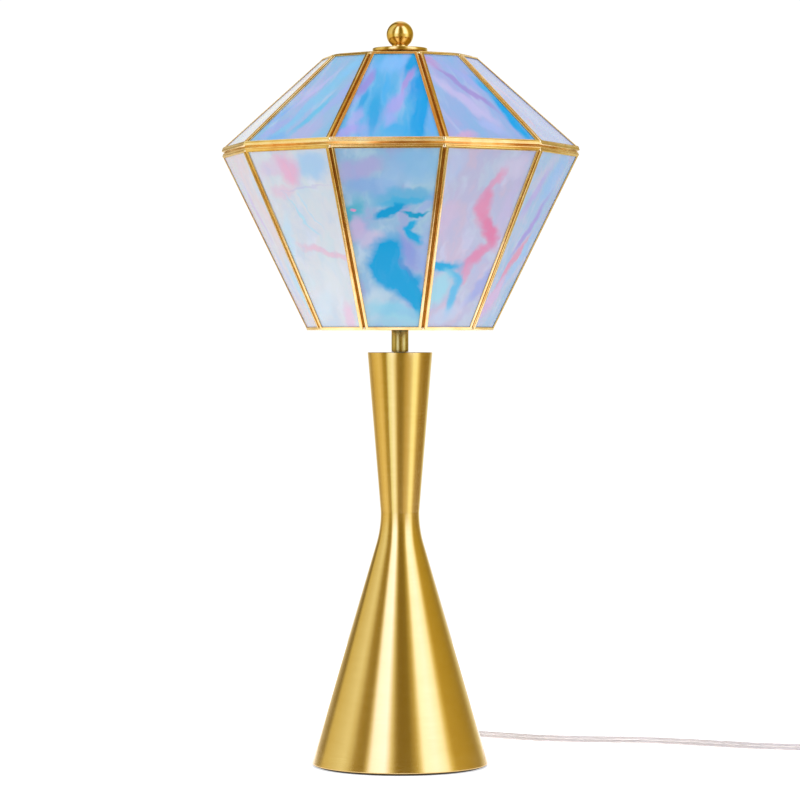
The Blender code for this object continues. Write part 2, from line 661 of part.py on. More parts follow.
def make_top_plate(brass):
    """Ten-sided plate inside the top rim, with a pressed hub, a stud hole and vents."""
    corner = PLATE_INNER_RADIUS / math.cos(HALF_SIDE)
    profile = [(0, PLATE_TOP), (corner, PLATE_TOP), (corner, PLATE_BOTTOM), (0, PLATE_BOTTOM)]
    plate = turned("shade_top_plate", profile, brass, SIDES)
    keep = rod("cut_plate_corners", PLATE_CORNER_RADIUS, 520, 540, steps=60, cutter=True)
    combine(plate, keep, "INTERSECT")
    hub_wall = PLATE_TOP - PLATE_BOTTOM
    hub = [(0, HUB_TOP), (HUB_RADIUS - 1.2, HUB_TOP), (HUB_RADIUS, HUB_TOP - 1.2)]
    hub += [(HUB_RADIUS, PLATE_BOTTOM), (0, PLATE_BOTTOM)]
    join(plate, turned("add_plate_hub", hub, steps=32, cutter=True))
    hollow_top = HUB_TOP - hub_wall - GAP
    cut(plate, rod("cut_hub_hollow", HUB_RADIUS - 2.0, 520, hollow_top, steps=32, cutter=True))
    cut(plate, rod("cut_plate_stud_hole", STUD_HOLE, 520, 540, steps=16, cutter=True))
    for vent in range(VENTS):
        angle = 2 * math.pi * (vent + 0.5) / VENTS
        hole = rod(f"cut_vent_{vent}", VENT_RADIUS, 520, 540, steps=12, cutter=True)
        hole.location = Vector((math.cos(angle), math.sin(angle), 0)) * VENT_CIRCLE * MM
        cut(plate, hole)


def make_finial(brass, polished):
    disc = [(STUD_HOLE, DISC_TOP), (DISC_RADIUS - 0.6, DISC_TOP), (DISC_RADIUS, DISC_TOP - 0.6)]
    disc += [(DISC_RADIUS, DISC_BOTTOM + 0.6), (DISC_RADIUS - 0.6, DISC_BOTTOM), (STUD_HOLE, DISC_BOTTOM)]
    turned("shade_disc", disc, brass, 32, closed=True)

    foot = DISC_TOP + GAP
    lowest = -math.acos(BALL_FOOT_RADIUS / BALL_RADIUS)
    ball = []
    for step in range(9):
        angle = math.pi / 2 + (lowest - math.pi / 2) * step / 8
        ball.append((BALL_RADIUS * math.cos(angle), BALL_CENTRE + BALL_RADIUS * math.sin(angle)))
    ball += [(BALL_FOOT_RADIUS, foot), (BALL_BORE, foot), (BALL_BORE, BALL_BORE_TOP), (0, BALL_BORE_TOP)]
    turned("finial_ball", ball, polished, 24)
    tube("finial_insert", INSERT_BORE, INSERT_RADIUS, foot + GAP, BALL_BORE_TOP - 0.5, brass, 16)


def make_shade(glass, came, brass, polished):
    crown = Tier("crown", (GIRDLE_RADIUS, CROWN_FOOT_HEIGHT), (TOP_RIM_RADIUS, TOP_RIM_HEIGHT), 1)
    skirt = Tier("skirt", (BOTTOM_RIM_RADIUS, BOTTOM_RIM_HEIGHT), (GIRDLE_RADIUS, SKIRT_TOP_HEIGHT), -1)
    make_lattice(crown, came, [girdle_bead(crown, skirt)])
    make_lattice(skirt, came)
    make_panes(crown, glass)
    make_panes(skirt, glass)
    make_top_plate(brass)
    make_finial(brass, polished)


# Cord ---------------------------------------------------------------------------------------------


def make_cord(pvc):
    """The free cord, its coil and tie, and the lead inside the body."""
    wire("cord_lead", smooth_route(CORD_ROUTE, CORD_POINT_SPACING), CORD_RADIUS, pvc)
    ring = tube("cord_coil", COIL_INNER_RADIUS, COIL_OUTER_RADIUS, COIL_BOTTOM, COIL_TOP, pvc, 32)
    ring.location = COIL_CENTRE * MM

    inner, outer = COIL_INNER_RADIUS - 0.5, COIL_OUTER_RADIUS + 0.5
    wall = TIE_THICKNESS
    half = TIE_WIDTH / 2
    bottom, top = COIL_BOTTOM - GAP, COIL_TOP + GAP
    tie = block("coil_tie", (inner - wall, -half, bottom - wall), (outer + wall, half, top + wall), pvc)
    inside = block("cut_tie_inside", (inner, -half - 5, bottom), (outer, half + 5, top), cutter=True)
    for piece in (tie, inside):
        piece.rotation_euler.z = TIE_ANGLE
        piece.location = COIL_CENTRE * MM
    cut(tie, inside)

    bend = smooth_route(INNER_LEAD_BEND, INNER_LEAD_SPACING)
    rise = [Vector((0, 0, 20)), Vector((0, 0, INNER_LEAD_TOP))]
    wire("inner_lead", bend + rise, INNER_LEAD_RADIUS, pvc)


def make_plug(pvc, brass):
    """Two-blade plug lying beside the coil, with its blades pointing along +Y."""
    start = PLUG_AXIS + Vector((0, PLUG_START, 0))
    width, depth, height = PLUG_BLOCK
    face = start.y + PLUG_NECK_LENGTH + depth
    low = (start.x - width / 2, face - depth, start.z - height / 2)
    high = (start.x + width / 2, face, start.z + height / 2)
    body = block("plug_body", low, high, pvc, bevel=3.0)
    inside_block = PLUG_NECK_LENGTH + 5
    neck_profile = [(0, inside_block), (PLUG_NECK_RADIUS, inside_block), (PLUG_NECK_TIP_RADIUS, 0), (0, 0)]
    neck = along_y(turned("add_plug_neck", neck_profile, steps=16, cutter=True))
    neck.location = start * MM
    join(body, neck)
    for name, blade_width, side in BLADES:
        x = start.x + side * BLADE_SPACING / 2
        corners = [
            (x - BLADE_THICKNESS / 2, face - BLADE_DEPTH_IN_PLUG, start.z - blade_width / 2),
            (x + BLADE_THICKNESS / 2, face + BLADE_LENGTH, start.z + blade_width / 2),
        ]
        block("plug_blade_" + name, *corners, brass)
        grown = [tuple(c + sign * GAP for c in corner) for corner, sign in zip(corners, (-1, 1))]
        cut(body, block("cut_blade_" + name, *grown, cutter=True))


def main():
    brass = make_look("brushed brass", (0.78, 0.56, 0.2), 0.3, 1.0)
    polished = make_look("polished brass", (0.72, 0.53, 0.22), 0.15, 1.0)
    came = make_look("brass came", (0.8, 0.58, 0.24), 0.25, 1.0)
    iron = make_look("cast iron", (0.06, 0.06, 0.065), 0.7, 0.6)
    steel = make_look("zinc-plated steel", (0.6, 0.6, 0.58), 0.35, 1.0)
    solder = make_look("solder", (0.7, 0.7, 0.7), 0.3, 1.0)
    felt = make_look("black felt", (0.015, 0.015, 0.016), 0.95)
    glass = make_look("opal glass", (0.6, 0.72, 0.88), 0.2, 0.0, 0.3)
    bulb_glass = make_look("frosted bulb glass", (0.9, 0.9, 0.88), 0.35, 0.0, 0.4)
    clear_pvc = make_look("clear cord jacket", (0.75, 0.72, 0.72), 0.25, 0.0, 0.5)
    card = make_look("insulating card", (0.55, 0.42, 0.28), 0.9)
    phenolic = make_look("phenolic", (0.03, 0.03, 0.03), 0.4)

    make_body(brass, polished, iron, steel, felt)
    make_cord_boot(clear_pvc)
    make_harp(brass, steel)
    make_socket(brass, steel, card, phenolic, phenolic)
    make_bulb(bulb_glass, brass, solder)
    make_shade(glass, came, brass, polished)
    make_cord(clear_pvc)
    make_plug(clear_pvc, brass)


clear_scene()
PARTS = new_collection("table lamp")
CUTTERS = new_collection("cutters")
CUTTERS.hide_render = True
main()
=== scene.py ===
"""Faceted art-glass table lamp: the looks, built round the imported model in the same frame."""

import math
import random

import bmesh
import bpy
from mathutils import Matrix, Vector, noise


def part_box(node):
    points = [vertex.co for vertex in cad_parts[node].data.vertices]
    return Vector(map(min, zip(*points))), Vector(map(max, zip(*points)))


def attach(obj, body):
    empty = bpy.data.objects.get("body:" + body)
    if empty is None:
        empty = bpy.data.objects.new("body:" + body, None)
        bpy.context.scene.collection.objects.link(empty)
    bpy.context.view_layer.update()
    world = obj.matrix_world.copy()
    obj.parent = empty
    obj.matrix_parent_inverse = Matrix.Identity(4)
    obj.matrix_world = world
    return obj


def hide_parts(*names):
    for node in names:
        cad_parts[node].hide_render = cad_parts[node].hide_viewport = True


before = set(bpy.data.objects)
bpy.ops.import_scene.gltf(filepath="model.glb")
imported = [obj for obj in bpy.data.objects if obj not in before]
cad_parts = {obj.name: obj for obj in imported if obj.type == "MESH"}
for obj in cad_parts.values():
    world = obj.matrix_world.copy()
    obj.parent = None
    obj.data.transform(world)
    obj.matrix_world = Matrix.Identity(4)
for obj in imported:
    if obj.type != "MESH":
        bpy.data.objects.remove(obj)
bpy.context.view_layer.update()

MM = 0.001
GAP = 0.3
SIDES = 10
HALF_SIDE = math.pi / SIDES
FINE, ROUND = 160, 64


# The frame's sizes, in millimetres -------------------------


def extent(node):
    """Lowest and highest corner of a CAD node."""
    low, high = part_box(node)
    return Vector(low) / MM, Vector(high) / MM


def turned_size(node):
    """(outer radius, lowest height, highest height) of a node turned about a vertical axis."""
    low, high = extent(node)
    return (high.y - low.y) / 2, low.z, high.z


def add_object(name, data):
    obj = bpy.data.objects.new(name, data)
    bpy.context.scene.collection.objects.link(obj)
    return obj


# Camera, floor and light -----------------------------------


def make_camera():
    distance, height = 2.559, 0.3177
    azimuth, pitch = math.radians(4.14), math.radians(0.965)
    data = bpy.data.cameras.new("camera")
    data.sensor_width, data.lens = 36.0, 153.5
    data.clip_end = 50
    camera = add_object("camera", data)
    camera.location = (distance * math.sin(azimuth), -distance * math.cos(azimuth), height)
    camera.rotation_euler = (math.pi / 2 - pitch, 0, azimuth)
    bpy.context.scene.camera = camera


def linear(code):
    """An "rrggbb" colour as linear RGBA."""
    channels = [int(code[i : i + 2], 16) / 255 for i in (0, 2, 4)]
    return (*[c / 12.92 if c <= 0.04045 else ((c + 0.055) / 1.055) ** 2.4 for c in channels], 1.0)


class Nodes:
    """A node tree being filled: each call adds a node, wires what is a socket and sets the rest."""

    def __init__(self, tree):
        self.tree = tree

    def add(self, kind, inputs=None, **settings):
        made = self.tree.nodes.new("ShaderNode" + kind)
        for key, value in settings.items():
            setattr(made, key, value)
        for socket, value in (inputs or {}).items():
            self.feed(made.inputs[socket], value)
        return made

    def feed(self, socket, value):
        if isinstance(value, bpy.types.NodeSocket):
            self.tree.links.new(value, socket)
        else:
            socket.default_value = value

    def maths(self, operation, first, second=0.0, clamp=False):
        return self.add("Math", {0: first, 1: second}, operation=operation, use_clamp=clamp).outputs[0]

    def span(self, value, low, high, to_low=0.0, to_high=1.0):
        made = self.add("MapRange", {0: value, 1: low, 2: high, 3: to_low, 4: to_high})
        made.interpolation_type = "SMOOTHSTEP"
        return made.outputs[0]

    def mix(self, factor, first, second):
        return self.add("Mix", {0: factor, 6: first, 7: second}, data_type="RGBA").outputs[2]

    def noise(self, vector, scale, detail=3.0, rough=0.5, colour=False):
        made = self.add("TexNoise", {"Vector": vector, "Scale": scale, "Detail": detail, "Roughness": rough})
        return made.outputs[1 if colour else 0]

    def scaled(self, vector, scale, location=(0, 0, 0), turn=0.0, kind="POINT"):
        values = {"Vector": vector, "Location": location, "Rotation": (0, 0, turn), "Scale": scale}
        return self.add("Mapping", values, vector_type=kind).outputs[0]

    def ramp(self, factor, stops, smooth=False):
        made = self.add("ValToRGB", {0: factor})
        ramp = made.color_ramp
        ramp.interpolation = "EASE" if smooth else "LINEAR"
        while len(ramp.elements) < len(stops):
            ramp.elements.new(0.5)
        for element, (position, colour) in zip(ramp.elements, stops):
            element.position = position
            element.color = colour
        return made.outputs[0]


# What the studio shows to a mirror, as (bearing from the camera's side in degrees, rightward, and
# red, green, blue): above the horizon, and below it.
STUDIO = (
    (-180, 1.0, 0.96, 0.86), (-163, 0.85, 0.8, 0.55), (-152, 0.3, 0.23, 0.08), (-142, 0.16, 0.12, 0.03),
    (-130, 0.2, 0.16, 0.05), (-120, 0.8, 0.73, 0.3), (-98, 0.88, 0.88, 0.55), (-80, 1.02, 1.07, 0.8),
    (-71, 0.85, 0.83, 0.5), (-61, 0.42, 0.33, 0.08), (-47, 0.34, 0.26, 0.05), (-42, 0.9, 0.84, 0.42),
    (-37, 1.6, 1.85, 2.6), (-17, 1.7, 1.99, 3.2), (-9, 1.0, 0.98, 0.56), (-2, 0.38, 0.3, 0.065),
    (4, 0.27, 0.2, 0.03), (19, 0.29, 0.22, 0.035), (29, 0.62, 0.53, 0.15), (34, 1.1, 1.1, 0.7),
    (39, 1.6, 1.82, 2.2), (56, 1.6, 1.86, 2.7), (71, 1.5, 1.68, 1.8), (79, 0.95, 0.86, 0.32),
    (86, 0.6, 0.47, 0.08), (118, 0.5, 0.39, 0.06), (140, 0.38, 0.3, 0.07), (152, 0.5, 0.43, 0.2),
    (164, 0.85, 0.8, 0.55), (180, 1.0, 0.96, 0.86),
)
LOW_STUDIO = (
    (-180, 1.0, 0.96, 0.86), (-163, 0.95, 0.88, 0.6), (-152, 0.75, 0.67, 0.42), (-143, 0.7, 0.61, 0.36),
    (-128, 0.52, 0.42, 0.15), (-116, 0.7, 0.56, 0.19), (-97, 0.88, 0.75, 0.27), (-81, 0.98, 0.86, 0.38),
    (-69, 0.84, 0.7, 0.26), (-60, 0.5, 0.4, 0.06), (-49, 0.44, 0.35, 0.05), (-41, 1.1, 1.22, 0.85),
    (-24, 1.3, 1.49, 1.5), (-14, 0.98, 0.94, 0.55), (-6, 0.42, 0.32, 0.06), (6, 0.31, 0.23, 0.035),
    (16, 0.38, 0.3, 0.06), (26, 0.62, 0.5, 0.16), (41, 0.75, 0.64, 0.25), (50, 1.0, 0.99, 0.55),
    (58, 1.35, 1.44, 0.95), (70, 1.35, 1.44, 0.95), (79, 0.95, 0.86, 0.42), (90, 0.5, 0.39, 0.11),
    (112, 0.34, 0.24, 0.04), (135, 0.4, 0.31, 0.1), (150, 0.8, 0.76, 0.42), (180, 1.0, 0.96, 0.86),
)
UNDER_FRONT, CEILING = (0.2, 0.14, 0.035, 1), (0.62, 0.35, 0.11, 1)
AMBIENT, BACKDROP = (0.54, 0.56, 0.64, 1), (1.05, 1.05, 1.05, 1)


def make_world():
    """Tall soft boxes and dark gaps round the object, a dim ceiling, and white behind it."""
    world = bpy.data.worlds.new("studio")
    bpy.context.scene.world = world
    world.use_nodes = True
    world.cycles.sampling_method = "NONE"
    nodes = Nodes(world.node_tree)
    world.node_tree.nodes.clear()
    direction = nodes.add("TexCoord").outputs["Generated"]
    turned = nodes.scaled(direction, (1, 1, 1), turn=math.pi / 2)
    bearing = nodes.add("TexGradient", {0: turned}, gradient_type="RADIAL").outputs[1]
    high, low = (
        nodes.ramp(bearing, [((degrees + 180) / 360, (*shade, 1)) for degrees, *shade in studio])
        for studio in (STUDIO, LOW_STUDIO)
    )
    height = nodes.add("SeparateXYZ", {0: direction}).outputs[2]
    colour = nodes.mix(nodes.span(height, -0.06, 0.22), low, high)
    colour = nodes.mix(nodes.span(height, -0.49, -0.56), colour, UNDER_FRONT)
    colour = nodes.mix(nodes.span(height, 0.86, 0.985), colour, CEILING)
    path = nodes.add("LightPath").outputs
    colour = nodes.mix(path["Is Diffuse Ray"], colour, AMBIENT)
    colour = nodes.mix(path["Is Camera Ray"], colour, BACKDROP)
    shown = nodes.add("Background", {0: colour, 1: 1.0})
    out = nodes.add("OutputWorld", {0: shown.outputs[0]})
    out.is_active_output = True


def make_lamp(name, spot, target, width, height, power):
    data = bpy.data.lights.new(name, "AREA")
    data.shape, data.size, data.size_y = "RECTANGLE", width, height
    data.energy = power
    lamp = add_object(name, data)
    lamp.location = spot
    lamp.rotation_euler = (Vector(target) - Vector(spot)).to_track_quat("-Z", "Y").to_euler()
    lamp.visible_camera = lamp.visible_glossy = False


FLOOR_RADIUS, FLOOR_MIDDLE = 0.75, (0.02, 0.31, 0)
FLOOR_SHADER = {
    "Base Color": (0.9, 0.9, 0.9, 1), "Roughness": 0.9, "Specular IOR Level": 0.1,
    "Emission Color": (1, 1, 1, 1), "Emission Strength": 0.55,
}
SHADE_SPOT, BODY_SPOT = (0, 0, 0.4), (0, 0, 0.3)


def make_stage():
    mesh = bpy.data.meshes.new("floor")
    form = bmesh.new()
    bmesh.ops.create_circle(form, cap_ends=True, segments=FINE, radius=FLOOR_RADIUS)
    bmesh.ops.translate(form, verts=form.verts, vec=FLOOR_MIDDLE)
    form.to_mesh(mesh)
    form.free()
    look = bpy.data.materials.new("pale floor")
    look.use_nodes = True
    for name, value in FLOOR_SHADER.items():
        look.node_tree.nodes["Principled BSDF"].inputs[name].default_value = value
    mesh.materials.append(look)
    add_object("floor", mesh)
    make_lamp("key_left", (-2.5, -0.8, 0.95), SHADE_SPOT, 1.2, 1.4, 27)
    make_lamp("key_right", (2.0, -1.6, 1.05), SHADE_SPOT, 1.2, 1.4, 14)
    make_lamp("top_fill", (0, 0.2, 2.2), BODY_SPOT, 1.6, 1.6, 14)
    make_lamp("back_fill", (0.3, 2.2, 1.0), BODY_SPOT, 1.6, 1.4, 14)


# Materials -------------------------------------------------


class Look(Nodes):
    """A Principled material, with its object-space position in millimetres at hand."""

    def __init__(self, name, **inputs):
        self.material = bpy.data.materials.new(name)
        self.material.use_nodes = True
        super().__init__(self.material.node_tree)
        self.shader = self.tree.nodes["Principled BSDF"]
        self.place = self.scaled(self.add("TexCoord").outputs["Object"], (1000, 1000, 1000))
        for name, value in inputs.items():
            self.set(name.replace("_", " "), value)

    def set(self, name, value):
        self.feed(self.shader.inputs[name], value)

    def grain(self, scale, detail=3.0, rough=0.5):
        return self.noise(self.place, scale, detail, rough)

    def roughen(self, field, low, high):
        self.set("Roughness", self.span(field, 0.3, 0.7, low, high))

    def bump(self, field, depth, strength=0.4):
        """Relief of about depth millimetres."""
        made = self.add("Bump", {"Strength": strength, "Distance": depth * MM, "Height": field})
        self.set("Normal", made.outputs[0])


def surface(name, light, dark, mottle, rough=None, relief=None, **inputs):
    """Colour that drifts between two tones, roughness and relief that drift with it, each from a
    noise. mottle: (scale, detail), rough: (lowest, highest, scale, detail), relief: (depth,
    strength, scale, detail and roughness of the noise)."""
    look = Look(name, **inputs)
    tones = [(0.3, linear(dark)), (0.7, linear(light))]
    look.set("Base Color", look.ramp(look.grain(*mottle), tones))
    if rough:
        look.roughen(look.grain(*rough[2:]), *rough[:2])
    if relief:
        look.bump(look.grain(*relief[2:]), *relief[:2])
    return look.material


def plain_metal(name, light, dark, rough, scale=0.4, bump=0.0):
    relief = (bump, 0.4, scale * 2.5, 3.0) if bump else None
    return surface(name, light, dark, (scale, 4.0), (rough - 0.04, rough + 0.06, scale * 3, 4.0), relief,
                   Metallic=1.0)


def solder_metal(name, light, dark, rough=0.28):
    return surface(name, light, dark, (0.9, 4.0), (rough - 0.08, rough + 0.12, 2.0, 4.0),
                   (0.25, 0.5, 0.9, 4.0), Metallic=1.0)


def matt(name, light, dark, rough, scale, bump=0.05):
    return surface(name, light, dark, (scale, 5.0), (rough - 0.05, rough + 0.08, scale * 1.7, 4.0),
                   (bump, 0.4, scale * 2.2, 5.0, 0.6))


def clear_plastic(name, tint, rough=0.12):
    """Clear soft vinyl, faintly milky."""
    return surface(name, tint, "f4efee", (0.12, 3.0), (rough - 0.04, rough + 0.1, 0.5, 3.0),
                   (0.06, 0.3, 0.4, 3.0), Transmission_Weight=0.62, IOR=1.36)


def brushed_brass(name, light, dark, rough):
    """Lathe-brushed metal: fine rings round the axis, and highlights drawn out across them."""
    look = Look(name, Metallic=1.0, Anisotropic=0.82, Anisotropic_Rotation=0.25)
    look.set("Tangent", look.add("Tangent", direction_type="RADIAL", axis="Z").outputs[0])
    rings = look.noise(look.scaled(look.place, (0.05, 0.05, 5.5)), 1.0, 5.0, 0.7)
    drift = look.noise(look.scaled(look.place, (0.03, 0.03, 0.09)), 1.0, 2.0)
    shade = look.maths("ADD", look.maths("MULTIPLY", rings, 0.75), look.maths("MULTIPLY", drift, 0.25))
    look.set("Base Color", look.ramp(shade, [(0.3, linear(dark)), (0.7, linear(light))]))
    look.roughen(rings, rough - 0.03, rough + 0.05)
    look.bump(rings, 0.01, 0.14)
    return look.material


def came_brass(name, dark, middle, light):
    """Polished channel brass whose lacquer has browned a little in patches."""
    look = Look(name, Metallic=1.0)
    stain, fine = look.grain(0.06, 3.0, 0.55), look.grain(1.2)
    colour = look.ramp(stain, [(0.34, linear(dark)), (0.5, linear(middle)), (0.7, linear(light))])
    look.set("Base Color", look.mix(look.span(fine, 0.5, 0.8, 0.0, 0.07), colour, linear("a8661e")))
    look.roughen(fine, 0.16, 0.24)
    look.bump(look.grain(0.35, 2.0), 0.04, 0.15)
    return look.material


def stranded_wire():
    """Tinned strands laid round each other, seen through the jacket."""
    look = Look("stranded wire", Metallic=0.15)
    waves = look.add("TexWave", {"Vector": look.place, "Scale": 0.55, "Distortion": 3.0, "Detail": 2.0})
    tones = [(0.2, linear("dccdc8")), (0.8, linear("fbf4f1"))]
    look.set("Base Color", look.ramp(waves.outputs[1], tones))
    look.roughen(look.grain(0.8), 0.3, 0.5)
    return look.material


# Art glass: each pane has a ground of three tones and swirls laid over it. A swirl is
# (across, up, lean in degrees, half length, half width, colour, strength), in millimetres from
# the middle of the pane's lower edge.
GROUNDS = {
    "sky": ("92b4e8", "68b8e6", "52b4e6"),
    "violet": ("b2b6e6", "9fbce8", "96bee8"),
    "slate": ("b0b8de", "9ebede", "92c0de"),
    "dawn": ("d9cbd7", "d0cedc", "c6d2e6"),
    "pale": ("d6dcf0", "dce4f2", "d2def2"),
    "haze": ("b2bcea", "bac8ee", "a8bef0"),
    "milk": ("cdd6de", "d8dbdd", "d2dcde"),
    "mist": ("a8b6da", "9cc2dc", "b2d2e0"),
    "rose": ("d0c2d6", "c4c2da", "c6cede"),
    "water": ("b2bfe0", "a6c4e4", "bec6e2"),
}
CROWN_GLASS = {
    1: ("sky", (
        (0, 84, 10, 12, 10, "86c2f8", 0.7), (-24, 62, 70, 26, 7, "a9b4f0", 0.6),
        (-10, 30, 84, 26, 4.5, "1ca8e0", 0.85), (-19, 44, 75, 14, 3, "26a6e0", 0.8),
        (6, 10, 20, 10, 7, "30b0ea", 0.6), (5, 42, 65, 15, 6, "b0a8ea", 0.8),
        (22, 34, 86, 36, 7, "02a4e4", 1.2), (14, 88, 78, 18, 6, "08a2de", 1.1),
        (20, 66, 84, 18, 5, "0a9ee2", 1.0), (33, 20, 86, 18, 4, "62b4f4", 0.7),
        (-18, 64, 70, 14, 4.5, "9a92da", 0.85), (12, 66, 82, 14, 2.4, "b096da", 0.8),
        (-30, 8, 30, 12, 7, "b0a8ea", 0.8), (-2, 58, 85, 18, 3, "48b4ec", 0.7),
        (-24, 26, 70, 12, 5, "b2b2ea", 0.7), (0, 22, 80, 10, 4, "a8b4f0", 0.6),
    )),
    2: ("violet", (
        (-4, 44, -60, 36, 6, "d2c8f0", 0.75), (2, 62, -60, 36, 2.6, "a890d6", 0.75),
        (10, 72, -58, 22, 5, "aab6f0", 0.6), (24, 58, -62, 20, 5, "40b8ee", 0.9),
        (29, 26, -74, 30, 5.5, "0cacec", 1.0), (-24, 7, 8, 13, 5, "dcb2dc", 0.8),
        (-13, 90, -50, 9, 6, "c8a6da", 0.7), (6, 14, -40, 14, 4, "b4c6f6", 0.6),
    )),
    10: ("slate", (
        (-2, 45, 73, 48, 7, "82c8e8", 0.75), (6, 30, 70, 24, 4, "5cc2e4", 0.8),
        (-21, 16, 60, 18, 5, "a8b0e4", 0.7), (22, 52, 75, 24, 6, "a6b4e6", 0.7),
        (-10, 60, 68, 22, 3, "c4c0ea", 0.6), (10, 84, 70, 12, 5, "8cc8f0", 0.6),
        (-14, 4, 0, 10, 5, "7cb4ea", 0.6), (-26, 30, 64, 16, 3, "86b4ec", 0.6),
    )),
    3: ("haze", (
        (-8, 60, -60, 22, 3, "e2c2e2", 0.6), (10, 20, -70, 20, 8, "bcd0f6", 0.6),
        (-14, 24, 50, 6, 3, "e6b4d2", 0.5),
    )),
    9: ("pale", (
        (0, 50, 70, 36, 12, "eef0fa", 0.8), (12, 20, 60, 16, 6, "dfe0f6", 0.6),
    )),
}
SKIRT_GLASS = {
    1: ("mist", (
        (-20, 127, 15, 20, 9, "b8b2dc", 0.8), (20, 130, -10, 20, 13, "8fc4e6", 0.8),
        (-10, 113, -6, 22, 8, "8cb4e2", 0.75), (3, 118, 70, 12, 8, "a9c8e8", 0.6),
        (10, 106, 8, 24, 6, "5cb9dc", 0.75), (-26, 94, 75, 12, 7, "58bcd2", 0.75),
        (28, 100, 60, 12, 4, "9fb2e2", 0.6), (1, 96, 28, 13, 3.6, "08a4d6", 1.2),
        (12, 103, 6, 18, 3, "4ab8de", 0.9), (19, 93, -6, 11, 1.6, "14a4cc", 1.1),
        (17, 85, 32, 7.5, 2.6, "22b0de", 1.0), (17, 76, -60, 9.5, 4.2, "18aede", 1.1),
        (-27, 92, 70, 9, 5, "5ab8cc", 0.8), (-24, 80, 80, 10, 5, "d6bcdc", 0.7),
        (-14, 72, 20, 9, 8, "dcc6e0", 0.7), (-16, 18, 60, 22, 9, "cfe0e6", 0.7),
        (26, 66, 80, 20, 5, "a4b6e4", 0.6), (13, 62, -66, 15, 6.5, "94a2dc", 0.95),
        (-4, 55, 80, 20, 12, "00a6da", 1.4), (8, 38, -40, 23, 11, "00a6da", 1.4),
        (20, 22, -62, 14, 7, "02a8da", 1.3), (2, 14, -10, 24, 7, "8ad4e6", 0.7),
        (11, 49, -55, 9, 2.2, "4a92d2", 0.7), (-26, 95, 0, 1.8, 1.4, "f29ac6", 0.9),
        (2, 6, 0, 22, 6, "a4dae4", 0.7), (24, 46, 85, 12, 3, "a2b2e6", 0.7),
    )),
    2: ("rose", (
        (24, 130, 20, 13, 9, "d8d0e4", 0.7), (-30, 130, 80, 14, 9, "c2cee8", 0.7),
        (-24, 88, 80, 18, 8, "dcc2da", 0.6), (8, 116, 55, 15, 3.5, "e8a2c0", 0.8),
        (5, 100, 82, 14, 6, "ea93b4", 0.9), (14, 80, -58, 16, 5.5, "e884aa", 0.95),
        (9, 60, 48, 16, 5, "e68fb2", 0.9), (4, 47, 72, 9, 3.6, "e49cbc", 0.8),
        (-17, 52, 2, 15, 5, "26b0de", 1.1), (-8, 46, -30, 9, 3.4, "44b8e0", 0.9),
        (-3, 30, 84, 19, 4, "5cc0e6", 0.9), (-17, 34, 60, 16, 9, "a4dce8", 0.9),
        (21, 38, 56, 20, 5, "a6b0e2", 0.8), (-6, 12, 30, 14, 8, "c4d6ea", 0.7),
        (26, 100, 80, 22, 5, "cfc2e0", 0.6),
    )),
    10: ("milk", (
        (19, 131, 0, 16, 11, "a6cce8", 0.85), (-4, 129, -60, 14, 10, "eab4cc", 0.9),
        (-22, 129, 20, 13, 7, "dcc4da", 0.6), (-16, 112, 4, 12, 5, "e4c0d2", 0.6),
        (6, 114, 4, 24, 1.1, "c6c2dc", 0.5), (-5, 92, -62, 20, 1.3, "aadcea", 0.7),
        (4, 96, -66, 16, 0.9, "b6dcea", 0.6), (-24, 70, 75, 24, 4, "bfe0ee", 0.6),
        (9, 63, -14, 26, 2.6, "e6bccc", 0.75), (11, 9, 70, 14, 6, "e8c6d8", 0.8),
        (4, 40, 80, 20, 9, "dce2e2", 0.6), (-10, 20, 60, 16, 7, "d2e2e8", 0.6),
    )),
    3: ("water", (
        (10, 122, 70, 20, 12, "92c0f2", 0.7), (-14, 112, 70, 24, 6, "b6a8e6", 0.7),
        (6, 84, 66, 30, 5, "a48ee0", 0.75), (0, 54, 60, 26, 4, "e892b6", 0.9),
        (-8, 26, 60, 22, 9, "dcb6e0", 0.8), (14, 60, 66, 26, 5, "9cc6f4", 0.7),
    )),
    9: ("dawn", (
        (0, 128, 80, 20, 12, "dcc8da", 0.7), (-10, 96, -75, 26, 4, "c4b0e6", 0.7),
        (15, 30, -80, 32, 8, "a8d6f0", 0.85), (-8, 44, -72, 26, 6, "b8c8ee", 0.7),
    )),
}
CROWN_HUES = ("3cabee", "82c4f2", "a482d2", "d2c4f0", "1a9aec", "a9b4f0", "dcb2dc")
SKIRT_HUES = ("08a4d4", "58bcd2", "e58fb2", "98a6de", "dcc6e0", "b2dee6", "ea93b4", "a48ee0")


def unseen_glass(tier, number):
    """Ground and swirls for a pane at the back, drawn with the same palette."""
    draw = random.Random(100 * number + len(tier))
    crown = tier == "crown"
    ground = draw.choice(("sky", "violet", "pale") if crown else ("mist", "rose", "milk", "water"))
    height, spread, hues = (96, 26, CROWN_HUES) if crown else (140, 24, SKIRT_HUES)
    swirls = []
    for _ in range(10):
        up = draw.uniform(4, height)
        lean = draw.choice((-1, 1)) * draw.uniform(60, 88) if crown else draw.uniform(35, 85)
        size = draw.uniform(16, 36)
        across = draw.uniform(-spread, spread)
        wide = size * draw.uniform(0.16, 0.4)
        swirls.append((across, up, lean, size, wide, draw.choice(hues), draw.uniform(0.4, 0.8)))
    return ground, swirls


